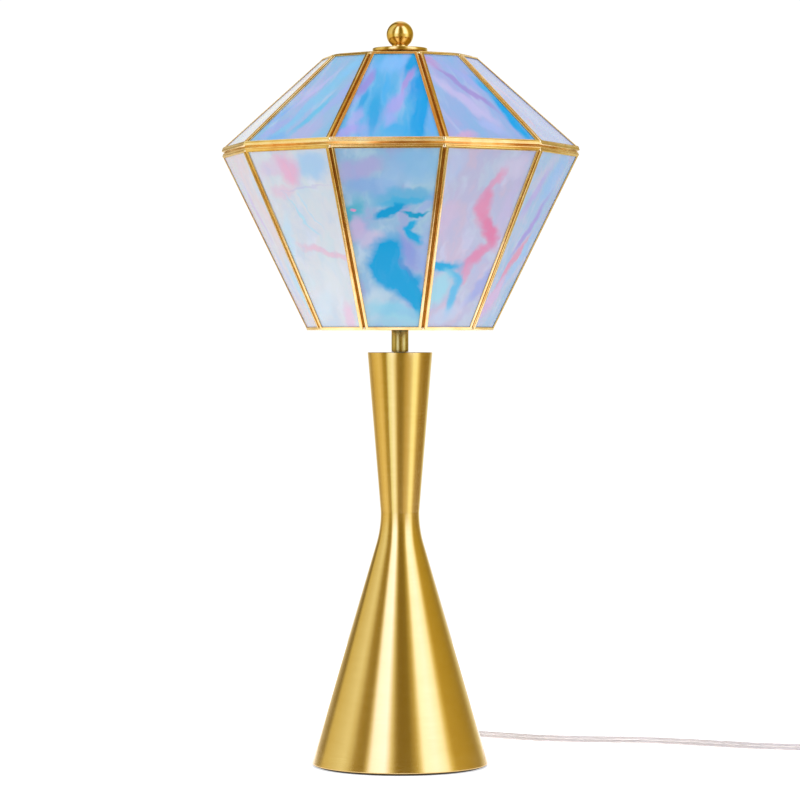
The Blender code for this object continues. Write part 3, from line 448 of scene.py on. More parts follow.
def art_glass(name, seed, ground, swirls, flow):
    """Opal glass with poured colour. flow draws the swirls out up the pane."""
    look = Look(name, Coat_Weight=0.1, Coat_Roughness=0.08, Specular_IOR_Level=0.22,
                Subsurface_Weight=0.12, Subsurface_Scale=0.003)
    here = look.scaled(look.place, (1, 1, 1), location=(seed * 131.0, seed * 57.0, 0))

    def vector(operation, first, second):
        return look.add("VectorMath", {0: first, 1: second}, operation=operation).outputs[0]

    warped = look.place
    for scale, detail, rough, reach in ((0.05, 3.0, 0.5, 14.0), (0.15, 2.0, 0.45, 5.0)):
        field = look.noise(look.scaled(here, (scale, scale * flow, scale)), 1.0, detail, rough, True)
        shift = vector("SUBTRACT", field, (0.5, 0.5, 0.5))
        warped = vector("ADD", warped, vector("MULTIPLY", shift, (reach, reach * (2 - flow), 0)))
    flat = vector("MULTIPLY", warped, (1, 1, 0))
    tones = [linear(code) for code in GROUNDS[ground]]
    cloud = look.noise(look.scaled(warped, (0.045, 0.03 * flow, 0.04), location=(seed, 0, 0)), 1.0, 4.0, 0.55)
    colour = look.ramp(cloud, list(zip((0.36, 0.5, 0.64), tones)), smooth=True)
    wisp = look.noise(look.scaled(warped, (0.09, 0.04 * flow, 0.08), turn=0.3), 1.0, 2.0, 0.5)
    colour = look.mix(look.span(wisp, 0.52, 0.76, 0.0, 0.3), colour, linear("e4e8f6"))
    for across, up, lean, long, wide, code, strength in swirls:
        spot = look.scaled(flat, (long, wide, 1), (across, up, 0), math.radians(lean), "TEXTURE")
        reach = look.add("VectorMath", {0: spot}, operation="LENGTH").outputs["Value"]
        colour = look.mix(look.span(reach, 1.4, 0.45, 0.0, strength), colour, linear(code))
    colour = look.mix(look.span(wisp, 0.5, 0.3, 0.0, 0.12), colour, linear("7fc4ea"))
    look.set("Base Color", colour)
    look.roughen(look.grain(0.12), 0.16, 0.26)
    return look.material


# Shapes ----------------------------------------------------


def show(obj, look, body, slot, *nodes):
    """Gives a finished object its material and its CAD body, and hides the nodes it stands for; slot is not
    used.
    """
    obj.data.materials.clear()
    for each in look if isinstance(look, (list, tuple)) else [look]:
        obj.data.materials.append(each)
    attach(obj, body)
    if nodes:
        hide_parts(*nodes)
    return obj


def build(name, points, faces, sharp=38.0):
    """A mesh object from points in millimetres, smooth except across sharp edges."""
    mesh = bpy.data.meshes.new(name)
    mesh.from_pydata([Vector(point) * MM for point in points], [], faces)
    mesh.validate()
    form = bmesh.new()
    form.from_mesh(mesh)
    bmesh.ops.remove_doubles(form, verts=form.verts, dist=1e-7)
    bmesh.ops.recalc_face_normals(form, faces=form.faces)
    form.to_mesh(mesh)
    form.free()
    finish_mesh(mesh, sharp)
    return add_object(name, mesh)


def finish_mesh(mesh, sharp=38.0):
    mesh.polygons.foreach_set("use_smooth", [True] * len(mesh.polygons))
    mesh.set_sharp_from_angle(angle=math.radians(sharp))


def rounded(outline, closed=False, steps=5):
    """The outline with its corners rounded: each point is (x, y) or (x, y, size of the rounding)."""
    result = []
    count = len(outline)
    for index, (x, y, *rounding) in enumerate(outline):
        if not rounding or not closed and index in (0, count - 1):
            result.append((x, y))
            continue
        here = Vector((x, y))
        before = Vector(outline[index - 1][:2]) - here
        after = Vector(outline[(index + 1) % count][:2]) - here
        start = here + before.normalized() * min(rounding[0], before.length * 0.49)
        end = here + after.normalized() * min(rounding[0], after.length * 0.49)
        for step in range(steps + 1):
            t = step / steps
            result.append(tuple((1 - t) ** 2 * start + 2 * t * (1 - t) * here + t * t * end))
    return result


def lathe(name, profile, steps=ROUND, closed=False, ripple=None, centre=(0, 0), sharp=38.0):
    """Turns (radius, height) points about a vertical axis. ripple(radius, height, angle) moves a point."""
    points, rings = [], []
    for radius, height in profile:
        if radius < 1e-6:
            rings.append([len(points)] * steps)
            points.append((centre[0], centre[1], height))
            continue
        rings.append(range(len(points), len(points) + steps))
        for step in range(steps):
            angle = 2 * math.pi * step / steps
            r, z = ripple(radius, height, angle) if ripple else (radius, height)
            points.append((centre[0] + r * math.cos(angle), centre[1] + r * math.sin(angle), z))
    faces = []
    for upper, lower in zip(rings, [*rings[1:], rings[0]] if closed else rings[1:]):
        for step in range(steps):
            after = (step + 1) % steps
            corners = dict.fromkeys((upper[step], lower[step], lower[after], upper[after]))
            if len(corners) > 2:
                faces.append(list(corners))
    return build(name, points, faces, sharp)


def lay_along_y(obj, height):
    """Turns a piece that was made about Z so that its axis runs along +Y at that height."""
    obj.data.transform(Matrix.Translation((0, 0, height * MM)) @ Matrix.Rotation(-math.pi / 2, 4, "X"))
    return obj


def move(obj, x=0.0, y=0.0, z=0.0):
    """Moves a piece's mesh by millimetres."""
    obj.data.transform(Matrix.Translation(Vector((x, y, z)) * MM))
    return obj


def bored(obj, *cutters):
    """Cuts closed shapes out of a piece and throws them away."""
    for cutter in cutters:
        step = obj.modifiers.new("cut", "BOOLEAN")
        step.operation, step.solver, step.object = "DIFFERENCE", "EXACT", cutter
    settle(obj)
    for cutter in cutters:
        bpy.data.objects.remove(cutter, do_unlink=True)
    return obj


def bevelled(obj, width):
    edge = obj.modifiers.new("edge", "BEVEL")
    edge.width, edge.segments, edge.limit_method = width * MM, 2, "ANGLE"
    return settle(obj)


def plug_of(radius, top, bottom, steps=40, centre=(0, 0)):
    """A cylinder to cut a hole with."""
    return lathe("hole", [(0, top), (radius, top), (radius, bottom), (0, bottom)], steps, centre=centre)


def settle(obj):
    """Replaces the mesh by what its modifiers make of it."""
    bpy.context.view_layer.update()
    graph = bpy.context.evaluated_depsgraph_get()
    mesh = bpy.data.meshes.new_from_object(obj.evaluated_get(graph))
    obj.modifiers.clear()
    obj.data = mesh
    finish_mesh(mesh)
    return obj


def joined(name, *objects):
    """Several objects as one, without merging their surfaces."""
    form = bmesh.new()
    for obj in objects:
        copy = obj.data.copy()
        copy.transform(obj.matrix_world)
        form.from_mesh(copy)
    mesh = bpy.data.meshes.new(name)
    form.to_mesh(mesh)
    form.free()
    for obj in objects:
        bpy.data.objects.remove(obj, do_unlink=True)
    finish_mesh(mesh)
    return add_object(name, mesh)


def threaded(depth, pitch, applies):
    """A ripple that cuts a right-hand round thread where applies(radius, height)."""

    def ripple(radius, height, angle):
        phase = 2 * math.pi * height / pitch - angle
        return radius - (depth * (0.5 - 0.5 * math.cos(phase)) if applies(radius, height) else 0.0), height

    return ripple


def steps_between(low, high, spacing):
    count = max(1, round(abs(high - low) / spacing))
    return [low + (high - low) * i / count for i in range(count + 1)]


def skin(name, rings, loop=False, sharp=50.0):
    """One closed skin over rings of as many points: capped at its ends, or a loop."""
    size, count = len(rings[0]), len(rings)
    faces = []
    for ring in range(count if loop else count - 1):
        here, there = ring * size, (ring + 1) % count * size
        for step in range(size):
            after = (step + 1) % size
            faces.append((here + step, here + after, there + after, there + step))
    if not loop:
        faces.append(list(range(size))[::-1])
        faces.append([(count - 1) * size + step for step in range(size)])
    return build(name, [point for ring in rings for point in ring], faces, sharp)


def plate(name, near, far, flip_far=False):
    """A flat sheet between two copies of an outline: the near face, or the far one, is listed backwards."""
    size = len(near)
    faces = [list(range(size)), list(range(size, 2 * size))]
    faces[flip_far].reverse()
    faces += [(i, (i + 1) % size, size + (i + 1) % size, size + i) for i in range(size)]
    return build(name, near + far, faces)


def headings(path):
    """The direction of travel at each point of a path."""
    return [(path[min(i + 1, len(path) - 1)] - path[max(i - 1, 0)]).normalized() for i in range(len(path))]


def tube_along(name, path, section, width_directions, sharp=50.0):
    """Sweeps a closed section, of (along the width, across it) points, down a path."""
    rings = []
    for here, ahead, wide in zip(path, headings(path), width_directions):
        wide = (wide - ahead * wide.dot(ahead)).normalized()
        deep = ahead.cross(wide)
        rings.append([here + wide * u + deep * v for u, v in section])
    return skin(name, rings, sharp=sharp)


def arc(centre, radius, start, end, steps):
    angles = [start + (end - start) * i / steps for i in range(steps + 1)]
    return [(centre[0] + radius * math.cos(a), centre[1] + radius * math.sin(a)) for a in angles]


def circle(radius, steps=12, centre=(0, 0)):
    return arc(centre, radius, 0, 2 * math.pi, steps)[:-1]


def smooth_route(points, spacing):
    """Points about every `spacing` along a Catmull-Rom curve through the given ones."""
    knots = [Vector(point) for point in points]
    knots = [2 * knots[0] - knots[1], *knots, 2 * knots[-1] - knots[-2]]
    dense = []
    for before, start, end, after in zip(knots, knots[1:], knots[2:], knots[3:]):
        for step in range(24):
            t = step / 24
            bend = (2 * before - 5 * start + 4 * end - after) * t**2
            twist = (3 * start - before - 3 * end + after) * t**3
            dense.append((2 * start + (end - before) * t + bend + twist) / 2)
    dense.append(knots[-2])
    travelled = [0.0]
    for start, end in zip(dense, dense[1:]):
        travelled.append(travelled[-1] + (end - start).length)
    count = max(2, round(travelled[-1] / spacing))
    route, now = [], 0
    for index in range(count + 1):
        wanted = travelled[-1] * index / count
        while now < len(dense) - 2 and travelled[now + 1] < wanted:
            now += 1
        share = (wanted - travelled[now]) / (travelled[now + 1] - travelled[now])
        route.append(dense[now].lerp(dense[now + 1], share))
    return route


# Cord ------------------------------------------------------

CORD_REST = 2.8
# (x, y, height) of the cord's axis. Without a height, it lies on the floor.
CORD_ROUTE = (
    (0, 84.5, 14.0), (0, 90, 14.0), (0, 97, 12.9), (0, 104, 10.4), (0, 112, 7.1), (0, 121, 4.2), (0, 132),
    (0, 145), (1, 160), (3, 175), (8, 187), (18, 194), (33, 193), (50, 186), (67, 177), (84, 168), (101, 161),
    (132, 155), (157, 154), (180, 153), (211, 144), (242, 131), (273, 119), (303, 113.4), (329.7, 110.6, 3.1),
)
CORD_LENGTH, CORD_WIDTH = 1800.0, 5.5
LOBE, LOBE_RADIUS, CORE_RADIUS = 1.36, 1.37, 0.72
COIL_TURNS_PER_LAYER = 3.634
COIL_ENTRY = math.radians(-96.5)
COIL_LAP = 0.25


def cord_path():
    """The laid stretch, two layers of coil (inward below, outward above), and the tail to the plug."""
    low, high = extent("cord_coil")
    middle = (low + high) / 2
    outer = (high.x - low.x) / 2 - LOBE
    hub = (high.x - low.x) / 2 - 15.2 + LOBE
    lower, upper = low.z + CORD_WIDTH / 2 + 0.1, high.z - CORD_WIDTH / 2 - 0.1
    coil = []
    half = 2 * math.pi * COIL_TURNS_PER_LAYER
    count = round(2 * half / math.radians(7))
    for step in range(count + 1):
        turn = 2 * half * step / count
        inward = min(turn, 2 * half - turn) / half
        radius = outer + (hub - outer) * inward
        rise = min(1, max(0, (turn - half) / (2 * math.pi * COIL_LAP) + 0.5))
        height = lower + (upper - lower) * (3 - 2 * rise) * rise * rise
        spot = Vector((math.cos(COIL_ENTRY + turn), math.sin(COIL_ENTRY + turn), 0)) * radius
        coil.append(Vector((middle.x, middle.y, height)) + spot)
    neck_low, neck_high = extent("plug_body")
    plug = Vector(((neck_low.x + neck_high.x) / 2, neck_low.y, (neck_low.z + neck_high.z) / 2))
    tail = [coil[-1] + Vector((0.2, 7, -0.9)), plug + Vector((0, -6, 0.2)), plug + Vector((0, 0.6, 0))]
    lead = [Vector((*place, CORD_REST)[:3]) for place in CORD_ROUTE]
    return lead, coil, tail


def make_cord(jacket, metal):
    lead, coil, tail = cord_path()
    path = smooth_route([*lead, *coil[2:], *tail], 3.0)
    upright = Vector((0, 0, 1))
    directions = []
    for here, ahead in zip(path, headings(path)):
        side = ahead.cross(upright).normalized()
        loose = min(1.0, max(0.0, (here.y - 128) / 20)) * min(1.0, max(0.0, (300 - here.x) / 60))
        lean = math.radians(20 * loose * (0.5 + 0.5 * math.sin(here.x / 24)))
        directions.append(upright * math.cos(lean) + side * math.sin(lean))
    around = [math.radians(a) for a in range(-160, 161, 32)]
    lobe = [(LOBE + LOBE_RADIUS * math.cos(a), LOBE_RADIUS * math.sin(a)) for a in around]
    skin_tube = tube_along("skin", path, lobe + [(-u, -v) for u, v in lobe], directions, 75)
    cores = [
        tube_along(f"core_{sign}", path, circle(CORE_RADIUS, 8, (sign * LOBE, 0)), directions)
        for sign in (-1, 1)
    ]
    metal_from = len(skin_tube.data.polygons)
    cord = joined("cord", skin_tube, *cores)
    show(cord, (jacket, metal), "root", "clear_pvc", "cord_lead", "cord_coil")
    for face in cord.data.polygons[metal_from:]:
        face.material_index = 1
    return cord, path


def rounded_box_ring(half_width, half_height, rounding, steps=4):
    corners = [(1, 1), (-1, 1), (-1, -1), (1, -1)]
    return rounded([(sx * half_width, sz * half_height, rounding) for sx, sz in corners], True, steps)


def loft(name, sections):
    """Joins (along Y, half width, half height, rounding) rings into one closed skin round the Y axis."""
    return skin(name, [[(x, y, z) for x, z in rounded_box_ring(*ring)] for y, *ring in sections])


def make_plug(jacket, brass):
    """Moulded two-blade plug: ribbed neck, waisted grip with ridges, and punched blades."""
    low, high = extent("plug_body")
    wide, tall = (high.x - low.x) / 2 - 0.05, (high.z - low.z) / 2 - 0.05
    neck_end = low.y + 15.0
    sections = [(low.y + 0.05, 2.9, 2.9, 2.8), (low.y + 0.5, 3.4, 3.4, 3.3)]
    for rib in range(4):
        start, size = low.y + 1.4 + 3.4 * rib, 3.4 + 0.55 * rib
        for along, swell in ((0.0, 0.0), (1.5, 0.25), (1.8, -0.35), (3.0, -0.2)):
            sections.append((start + along, size + swell, size + swell, (size + swell) * 0.97))
    sections += [(neck_end + 0.4, 6.4, 5.6, 5.2), (neck_end + 2.2, 9.6, tall - 0.3, 4.6)]
    sections += [(neck_end + 5, wide - 0.9, tall, 3.8)]
    for ridge in range(5):
        start = neck_end + 6 + 2.2 * ridge
        for along, shy in ((0, 1.5), (0.4, 0.6), (1.4, 0.6), (1.8, 1.5)):
            sections.append((start + along, wide - shy, tall, 3.4))
    sections += [(high.y - 5.6, wide, tall, 3.0), (high.y - 0.9, wide, tall, 3.0)]
    sections += [(high.y - 0.25, wide - 0.35, tall - 0.35, 2.8), (high.y, wide - 1, tall - 1, 2.2)]
    body = move(loft("plug", sections), (low.x + high.x) / 2, 0, (low.z + high.z) / 2)
    pieces = [show(body, jacket, "root", "clear_pvc", "plug_body")]
    for kind in ("narrow", "wide"):
        start, end = extent("plug_blade_" + kind)
        middle, half = (start + end) / 2, (end - start) / 2
        outline = [(start.y, half.z), (start.y, -half.z), (end.y, -half.z, 1.6), (end.y, half.z, 1.6)]
        sides = ([(x, y, z) for y, z in rounded(outline, True)] for x in (-half.x, half.x))
        blade = plate("blade_" + kind, *sides, flip_far=True)
        hole, place = plug_of(1.6, 5, -5, 24), Matrix.Translation((0, (end.y - 4.5) * MM, 0))
        hole.data.transform(place @ Matrix.Rotation(math.pi / 2, 4, "Y"))
        blade = bevelled(bored(blade, hole), 0.22)
        move(blade, middle.x, 0, middle.z)
        pieces.append(show(blade, brass, "root", "hardware_brass", "plug_blade_" + kind))
    return pieces


def make_tie(plastic):
    """A flat strap round the coil's section, with its little lock outside."""
    low, high = extent("cord_coil")
    middle = (low + high) / 2
    outer = (high.x - low.x) / 2 + 0.9
    half_wide, half_tall = 8.45, (high.z - low.z) / 2 + 0.7
    loop = rounded_box_ring(half_wide, half_tall, 2.2, 6)
    path = [Vector((outer - half_wide + u, 0, middle.z + v)) for u, v in loop]
    strap = rounded([(-2.4, -0.32, 0.2), (2.4, -0.32, 0.2), (2.4, 0.32, 0.2), (-2.4, 0.32, 0.2)], True, 2)
    rings = []
    for index, here in enumerate(path):
        ahead = (path[(index + 1) % len(path)] - path[index - 1]).normalized()
        out = ahead.cross(Vector((0, 1, 0)))
        rings.append([here + Vector((0, u, 0)) + out * v for u, v in strap])
    low_end, high_end = (0.8, 2.1, 0.5), (1.2, 2.6, 0.6)
    head = loft("head", [(-3.4, *low_end), (-3.0, *high_end), (3.0, *high_end), (3.4, *low_end)])
    tail = loft("tail", [(-9.5, 0.3, 1.4, 0.25), (-8.5, 0.35, 1.9, 0.3), (-3.2, 0.35, 1.9, 0.3)])
    lock = [move(part, outer + 1.1, 0, middle.z) for part in (head, tail)]
    tie = joined("tie", skin("band", rings, loop=True), *lock)
    turn = Matrix.Translation((middle.x * MM, middle.y * MM, 0)) @ Matrix.Rotation(math.radians(120), 4, "Z")
    tie.data.transform(turn)
    return show(tie, plastic, "root", "tie_plastic", "coil_tie")


def make_bushing(jacket):
    """Strain relief: a barrel through the wall, a collar against it and a tapered, grooved sleeve."""
    low, high = extent("cord_bushing")
    front = high.y
    profile = [(0, front), (2.9, front, 0.2), (3.8, front - 0.3, 0.3)]
    for rib in range(5):
        at, radius = front - 1.2 - 3.1 * rib, 3.9 + 0.42 * rib
        profile += [(radius, at, 0.3), (radius + 0.1, at - 1.7, 0.3), (radius - 0.7, at - 1.9, 0.2)]
        profile += [(radius - 0.7, at - 2.7, 0.2)]
    profile += [(7.1, front - 16.6, 0.5), (7.5, front - 17.8, 0.4), (7.5, front - 20.6, 0.3)]
    profile += [(4.6, front - 20.8), (4.6, low.y + 0.1, 0.3), (0, low.y + 0.1)]
    sleeve = lathe("strain_relief", rounded(profile, steps=3), 48)
    return show(lay_along_y(sleeve, (low.z + high.z) / 2), jacket, "root", "clear_pvc", "cord_bushing")


# Body ------------------------------------------------------

WALL, ROD_BORE = 1.2, 5.35
WAIST_CURVE, CONE_FLARE = 85.0, 0.2915
# How high above its foot the cone is painted dark brown: painted shade under the rim.
FOOT_ROUNDING, SHADED_FOOT_BAND = 1.2, 0.85
BRUSHED_SLOT, HARDWARE_SLOT = "brushed_brass", "hardware_brass"


def turned(name, outline, look, body, slot, node, steps=FINE, ring=True, fine=5, **settings):
    """A turned piece that stands for a node: a ring of an outline, or a solid from axis to axis."""
    piece = lathe(name, rounded(outline, ring, fine), steps, closed=ring, **settings)
    return show(piece, look, body, slot, node)


def base_profile():
    """Outer side of the flared cone, from its waist to the rounded foot, and the inside back up."""
    foot_radius, foot, top = turned_size("base_cone")
    waist = turned_size("waist_coupler")[0] + WALL + GAP
    lean = math.atan(CONE_FLARE)
    curve = arc((waist + WAIST_CURVE, top + 0.04), WAIST_CURVE, -math.pi, -math.pi + lean, 24)
    foot_centre = foot_radius - FOOT_ROUNDING
    turn = arc((foot_centre, foot + FOOT_ROUNDING), FOOT_ROUNDING, lean, -math.pi / 2, 12)
    last, first = Vector(curve[-1]), Vector(turn[0])
    straight = [tuple(last.lerp(first, i / 12)) for i in range(1, 12)]
    outside = curve + straight + turn
    inside = [(radius - WALL, z) for radius, z in reversed(outside) if z > foot + FOOT_ROUNDING]
    lip = [(foot_centre - 1.0, foot), (foot_centre - 1.0, foot + WALL)]
    return outside + lip + inside


def make_body(brushed, polished, pad_look, foot_shade_look):
    radius, low, high = turned_size("base_pad")
    pad = [(0, high), (radius, high, 0.3), (radius, low, 0.3), (0, low)]
    turned("pad", pad, pad_look, "root", "pad_felt", "base_pad", ring=False)

    cone = lathe("flared_cone", base_profile(), FINE, closed=True)
    low, high = extent("cord_bushing")
    bored(cone, lay_along_y(plug_of(4.8, 80, 50, 32), (low.z + high.z) / 2))
    show(cone, (brushed, foot_shade_look), "root", BRUSHED_SLOT, "base_cone")
    # The cone's faces nearest the foot take the second, dark brown look: painted shade under the foot's rim,
    # not a finish of the brass.
    underside = turned_size("base_cone")[1] + SHADED_FOOT_BAND
    for face in cone.data.polygons:
        if face.center.z / MM < underside:
            face.material_index = 1

    radius, foot, top = turned_size("neck_cone")
    waist = turned_size("waist_coupler")[0] + WALL + GAP
    shares = steps_between(0, 1, 0.06)
    rows = [(waist + (radius - waist) * share, foot + (top - foot) * share) for share in shares]
    neck = [(radius - WALL, top, 0.3), (radius, top, 0.4), *rows[-2:0:-1]]
    neck += [(waist, foot - 0.2), (waist - WALL, foot, 0.2)]
    turned("neck", neck, brushed, "root", BRUSHED_SLOT, "neck_cone", fine=3)

    radius, low, high = turned_size("neck_cap")
    cap = [(ROD_BORE, high, 0.2), (radius, high, 0.5), (radius, low, 0.2), (ROD_BORE, low)]
    turned("neck_lid", cap, brushed, "root", BRUSHED_SLOT, "neck_cap")

    radius, low, high = turned_size("stem_tube")
    stem = [(ROD_BORE, high), (radius, high, 0.4), (radius, low + 1.2), (radius - 0.18, low + 1.0)]
    stem += [(radius - 0.18, low + 0.8), (radius, low + 0.6), (radius, low, 0.3), (ROD_BORE, low)]
    turned("stem", stem, polished, "root", "polished_brass", "stem_tube", ROUND)


# Shade -----------------------------------------------------

PANE_MARGIN, PANE_DEPTH = 1.1, 0.8
FRAME_THICKNESS = 4.0
# A channel's section, as (inward from the side's edge, outward from the inner face, rounding).
CHANNEL = (
    (0.15, 0.0, 0.5), (3.0, 0.0, 0.25), (3.0, 0.62, 0.2), (1.0, 0.62), (1.0, 3.38), (3.0, 3.38, 0.2),
    (3.0, 4.0, 0.35), (0.15, 4.0, 1.1),
)


class Tier:
    """One ring of panes, read from its first pane: places are (across, up the slope, outward)."""

    def __init__(self, name):
        self.name = name
        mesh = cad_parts[f"pane_{name}_01"].data
        corners = {tuple(round(v / MM, 3) for v in vertex.co) for vertex in mesh.vertices}
        points = sorted((Vector(corner) for corner in corners), key=lambda point: point.z)
        outer = min(points[:4], key=lambda point: point.y)
        low = sum(points[:4], Vector()) / 4
        high = sum(points[4:], Vector()) / 4
        self.slope = (high - low).normalized()
        self.normal = Vector((1, 0, 0)).cross(self.slope)
        self.length = (high - low).length + 2 * PANE_MARGIN
        half_thick = abs((outer - low).dot(self.normal))
        low_half, high_half = (max(point.x for point in four) for four in (points[:4], points[4:]))
        self.taper = taper = (low_half - high_half) / (high - low).length
        self.thick = 2 * half_thick
        self.low_half = low_half + PANE_MARGIN * (math.hypot(1, taper) + taper)
        self.origin = low - self.slope * PANE_MARGIN - self.normal * (half_thick + PANE_DEPTH)
        self.origin.x = 0

    def half_width(self, up, inset=0.0):
        return self.low_half - self.taper * up - inset * math.hypot(1, self.taper)

    def matrix(self, side):
        """From a panel drawn in metres to the given side of the shade."""
        front = Matrix.Identity(4)
        for column, axis in enumerate((Vector((1, 0, 0)), self.slope, self.normal)):
            front.col[column] = (*axis, 0)
        front.col[3] = (*(self.origin * MM), 1)
        return Matrix.Rotation(2 * HALF_SIDE * side, 4, "Z") @ front

    def seam(self, outward):
        """Lower and upper end of the line where sides 0 and 1 meet, at a depth from the inner face."""
        ends = []
        for up in (0.0, self.length):
            middle = self.origin + self.slope * up + self.normal * outward
            corner = Vector((0, middle.y / math.cos(HALF_SIDE), middle.z))
            ends.append(Matrix.Rotation(HALF_SIDE, 3, "Z") @ corner)
        return ends


def make_pane(tier, number, look):
    """A poured sheet: flat inside, gently waved outside, with ground edges."""
    across_steps, up_steps, inset = 26, 40, PANE_MARGIN
    points, faces = [], []
    for outward in (PANE_DEPTH, PANE_DEPTH + tier.thick):
        for j in range(up_steps + 1):
            up = inset + (tier.length - 2 * inset) * j / up_steps
            half = tier.half_width(up, inset)
            for i in range(across_steps + 1):
                x = half * (2 * i / across_steps - 1)
                seed = Vector((x * 0.045 + 9 * number, up * 0.035, outward + len(tier.name)))
                edge = min(1.0, (half - abs(x)) / 6, (up - inset) / 6, (tier.length - inset - up) / 6)
                wave = 0.22 * noise.noise(seed) * max(0.0, edge)
                points.append((x, up, outward + wave - (0.0 if edge > 0 else 0.05)))
    row = across_steps + 1
    size = row * (up_steps + 1)
    for j in range(up_steps):
        for first in range(j * row, j * row + across_steps):
            faces.append((first, first + row, first + row + 1, first + 1))
            faces.append((size + first, size + first + 1, size + first + row + 1, size + first + row))
    rim = list(range(row)) + [j * row + across_steps for j in range(1, up_steps + 1)]
    rim += [up_steps * row + i for i in range(across_steps - 1, -1, -1)]
    rim += [j * row for j in range(up_steps - 1, 0, -1)]
    for start, end in zip(rim, rim[1:] + rim[:1]):
        faces.append((start, end, size + end, size + start))
    pane = build(f"glass_{tier.name}_{number:02d}", points, faces)
    pane.matrix_world = tier.matrix(number - 1)
    show(pane, look, "shade", "art_glass", f"pane_{tier.name}_{number:02d}")


def channel_frame(tier, side, lips):
    """Four mitred lengths of channel round one pane. lips: its width below, above and at the sides."""
    rings = []
    for inset, outward in rounded(CHANNEL, True, 4):
        below, above, beside = (inset if inset <= 1 else 1 + (inset - 1) * (lip - 1) / 2 for lip in lips)
        corners = ((below, -1), (below, 1), (tier.length - above, 1), (tier.length - above, -1))
        rings.append([(sign * tier.half_width(up, beside), up, outward) for up, sign in corners])
    panel = skin(f"{tier.name}_frame_{side}", rings, loop=True, sharp=30)
    panel.matrix_world = tier.matrix(side)
    return panel


def solder_seam(tier, side, depth=1.15, radius=1.25):
    """The run of solder at the bottom of the groove between two frames."""
    low, high = tier.seam(depth)
    low, high = low.lerp(high, 0.012), low.lerp(high, 0.988)
    turn = Matrix.Rotation(2 * HALF_SIDE * side, 3, "Z")
    out = (turn @ Vector((low.x, low.y, 0))).normalized()
    path = [turn @ low.lerp(high, i / 60) for i in range(61)]
    bead = tube_along(f"{tier.name}_seam_{side}", path, circle(radius, 10), [out] * len(path), 60)
    for vertex in bead.data.vertices:
        grain = noise.noise(vertex.co / MM * 0.3) * 0.16 * MM
        vertex.co += Vector((vertex.co.x, vertex.co.y, 0)).normalized() * grain
    return bead


def solder_blob(name, spot, out, size, seed):
    """A flattened drop of solder set against a corner, a little uneven."""
    mesh = bpy.data.meshes.new(name)
    form = bmesh.new()
    bmesh.ops.create_icosphere(form, subdivisions=3, radius=1)
    side = out.cross(Vector((0, 0, 1))).normalized()
    up = side.cross(out)
    for vertex in form.verts:
        at = vertex.co * (1 + 0.22 * noise.noise(vertex.co * 1.6 + Vector((seed, 0, 0))))
        vertex.co = (spot + side * at.x * size[0] + up * at.y * size[1] + out * at.z * size[2]) * MM
    form.to_mesh(mesh)
    form.free()
    return add_object(name, mesh)


FRAME_LIPS = {"crown": (1.7, 2.8, 2.75), "skirt": (2.8, 2.3, 2.4)}
# The drops at the corners: tier, which end of its seam, and size across, up and outward.
DROPS = (
    ("crown", 0, (1.9, 1.5, 1.1)), ("skirt", 1, (1.6, 1.1, 1.0)),
    ("crown", 1, (1.4, 1.1, 0.9)), ("skirt", 0, (1.4, 1.1, 0.9)),
)
DROP_DEPTH, DROP_INWARD = 2.75, 1.1


def make_shade(came, band_lit_look, solder, seam_look, glass_looks):
    tiers = {name: Tier(name) for name in ("crown", "skirt")}
    for name, tier in tiers.items():
        for number in range(1, SIDES + 1):
            make_pane(tier, number, glass_looks[name][number])
        frames = [channel_frame(tier, side, FRAME_LIPS[name]) for side in range(SIDES)]
        show(joined(f"{name}_frames", *frames), came, "shade", "came_brass", f"{name}_came")
        seams = joined(f"{name}_seams", *[solder_seam(tier, side) for side in range(SIDES)])
        show(seams, seam_look, "shade", "came_brass")

    eaves = tiers["crown"].origin + tiers["crown"].normal * FRAME_THICKNESS
    edge, ledge = -eaves.y / math.cos(HALF_SIDE), eaves.z
    strip = [(edge - 1.2, ledge + 1.5, 0.2), (edge - 0.05, ledge - 1.7, 0.3), (edge - 2.2, ledge - 2.9, 0.3)]
    strip += [(edge - 1.2, ledge - 3.4, 0.4), (edge - 0.85, ledge - 4.0, 0.5), (edge - 1.6, ledge - 5.0, 0.5)]
    strip += [(edge - 4.6, ledge - 3.2), (edge - 4.0, ledge - 0.9)]
    girdle = lathe("girdle_solder", rounded(strip, True), SIDES, closed=True, sharp=30)
    girdle.data.transform(Matrix.Rotation(-math.pi / 2 - HALF_SIDE, 4, "Z"))
    # The girdle band wears a lighter copy of the came brass: painted highlight.
    show(girdle, band_lit_look, "shade", "came_brass")

    blobs = []
    for side in range(SIDES):
        turn = Matrix.Rotation(2 * HALF_SIDE * side, 3, "Z")
        for name, end, size in DROPS:
            ends = tiers[name].seam(DROP_DEPTH)
            spot = ends[end]
            inward = (ends[1 - end] - spot).normalized() * DROP_INWARD
            out = turn @ Vector((spot.x, spot.y, 0)).normalized()
            blobs.append(solder_blob(f"blob_{side}", turn @ (spot + inward), out, size, 7.3 * len(blobs)))
    show(joined("solder_drops", *blobs), solder, "shade", "came_brass")


STUD_PITCH, SCREW_PITCH = 0.9407, 3.629
SWITCH_HEIGHT = 353.0


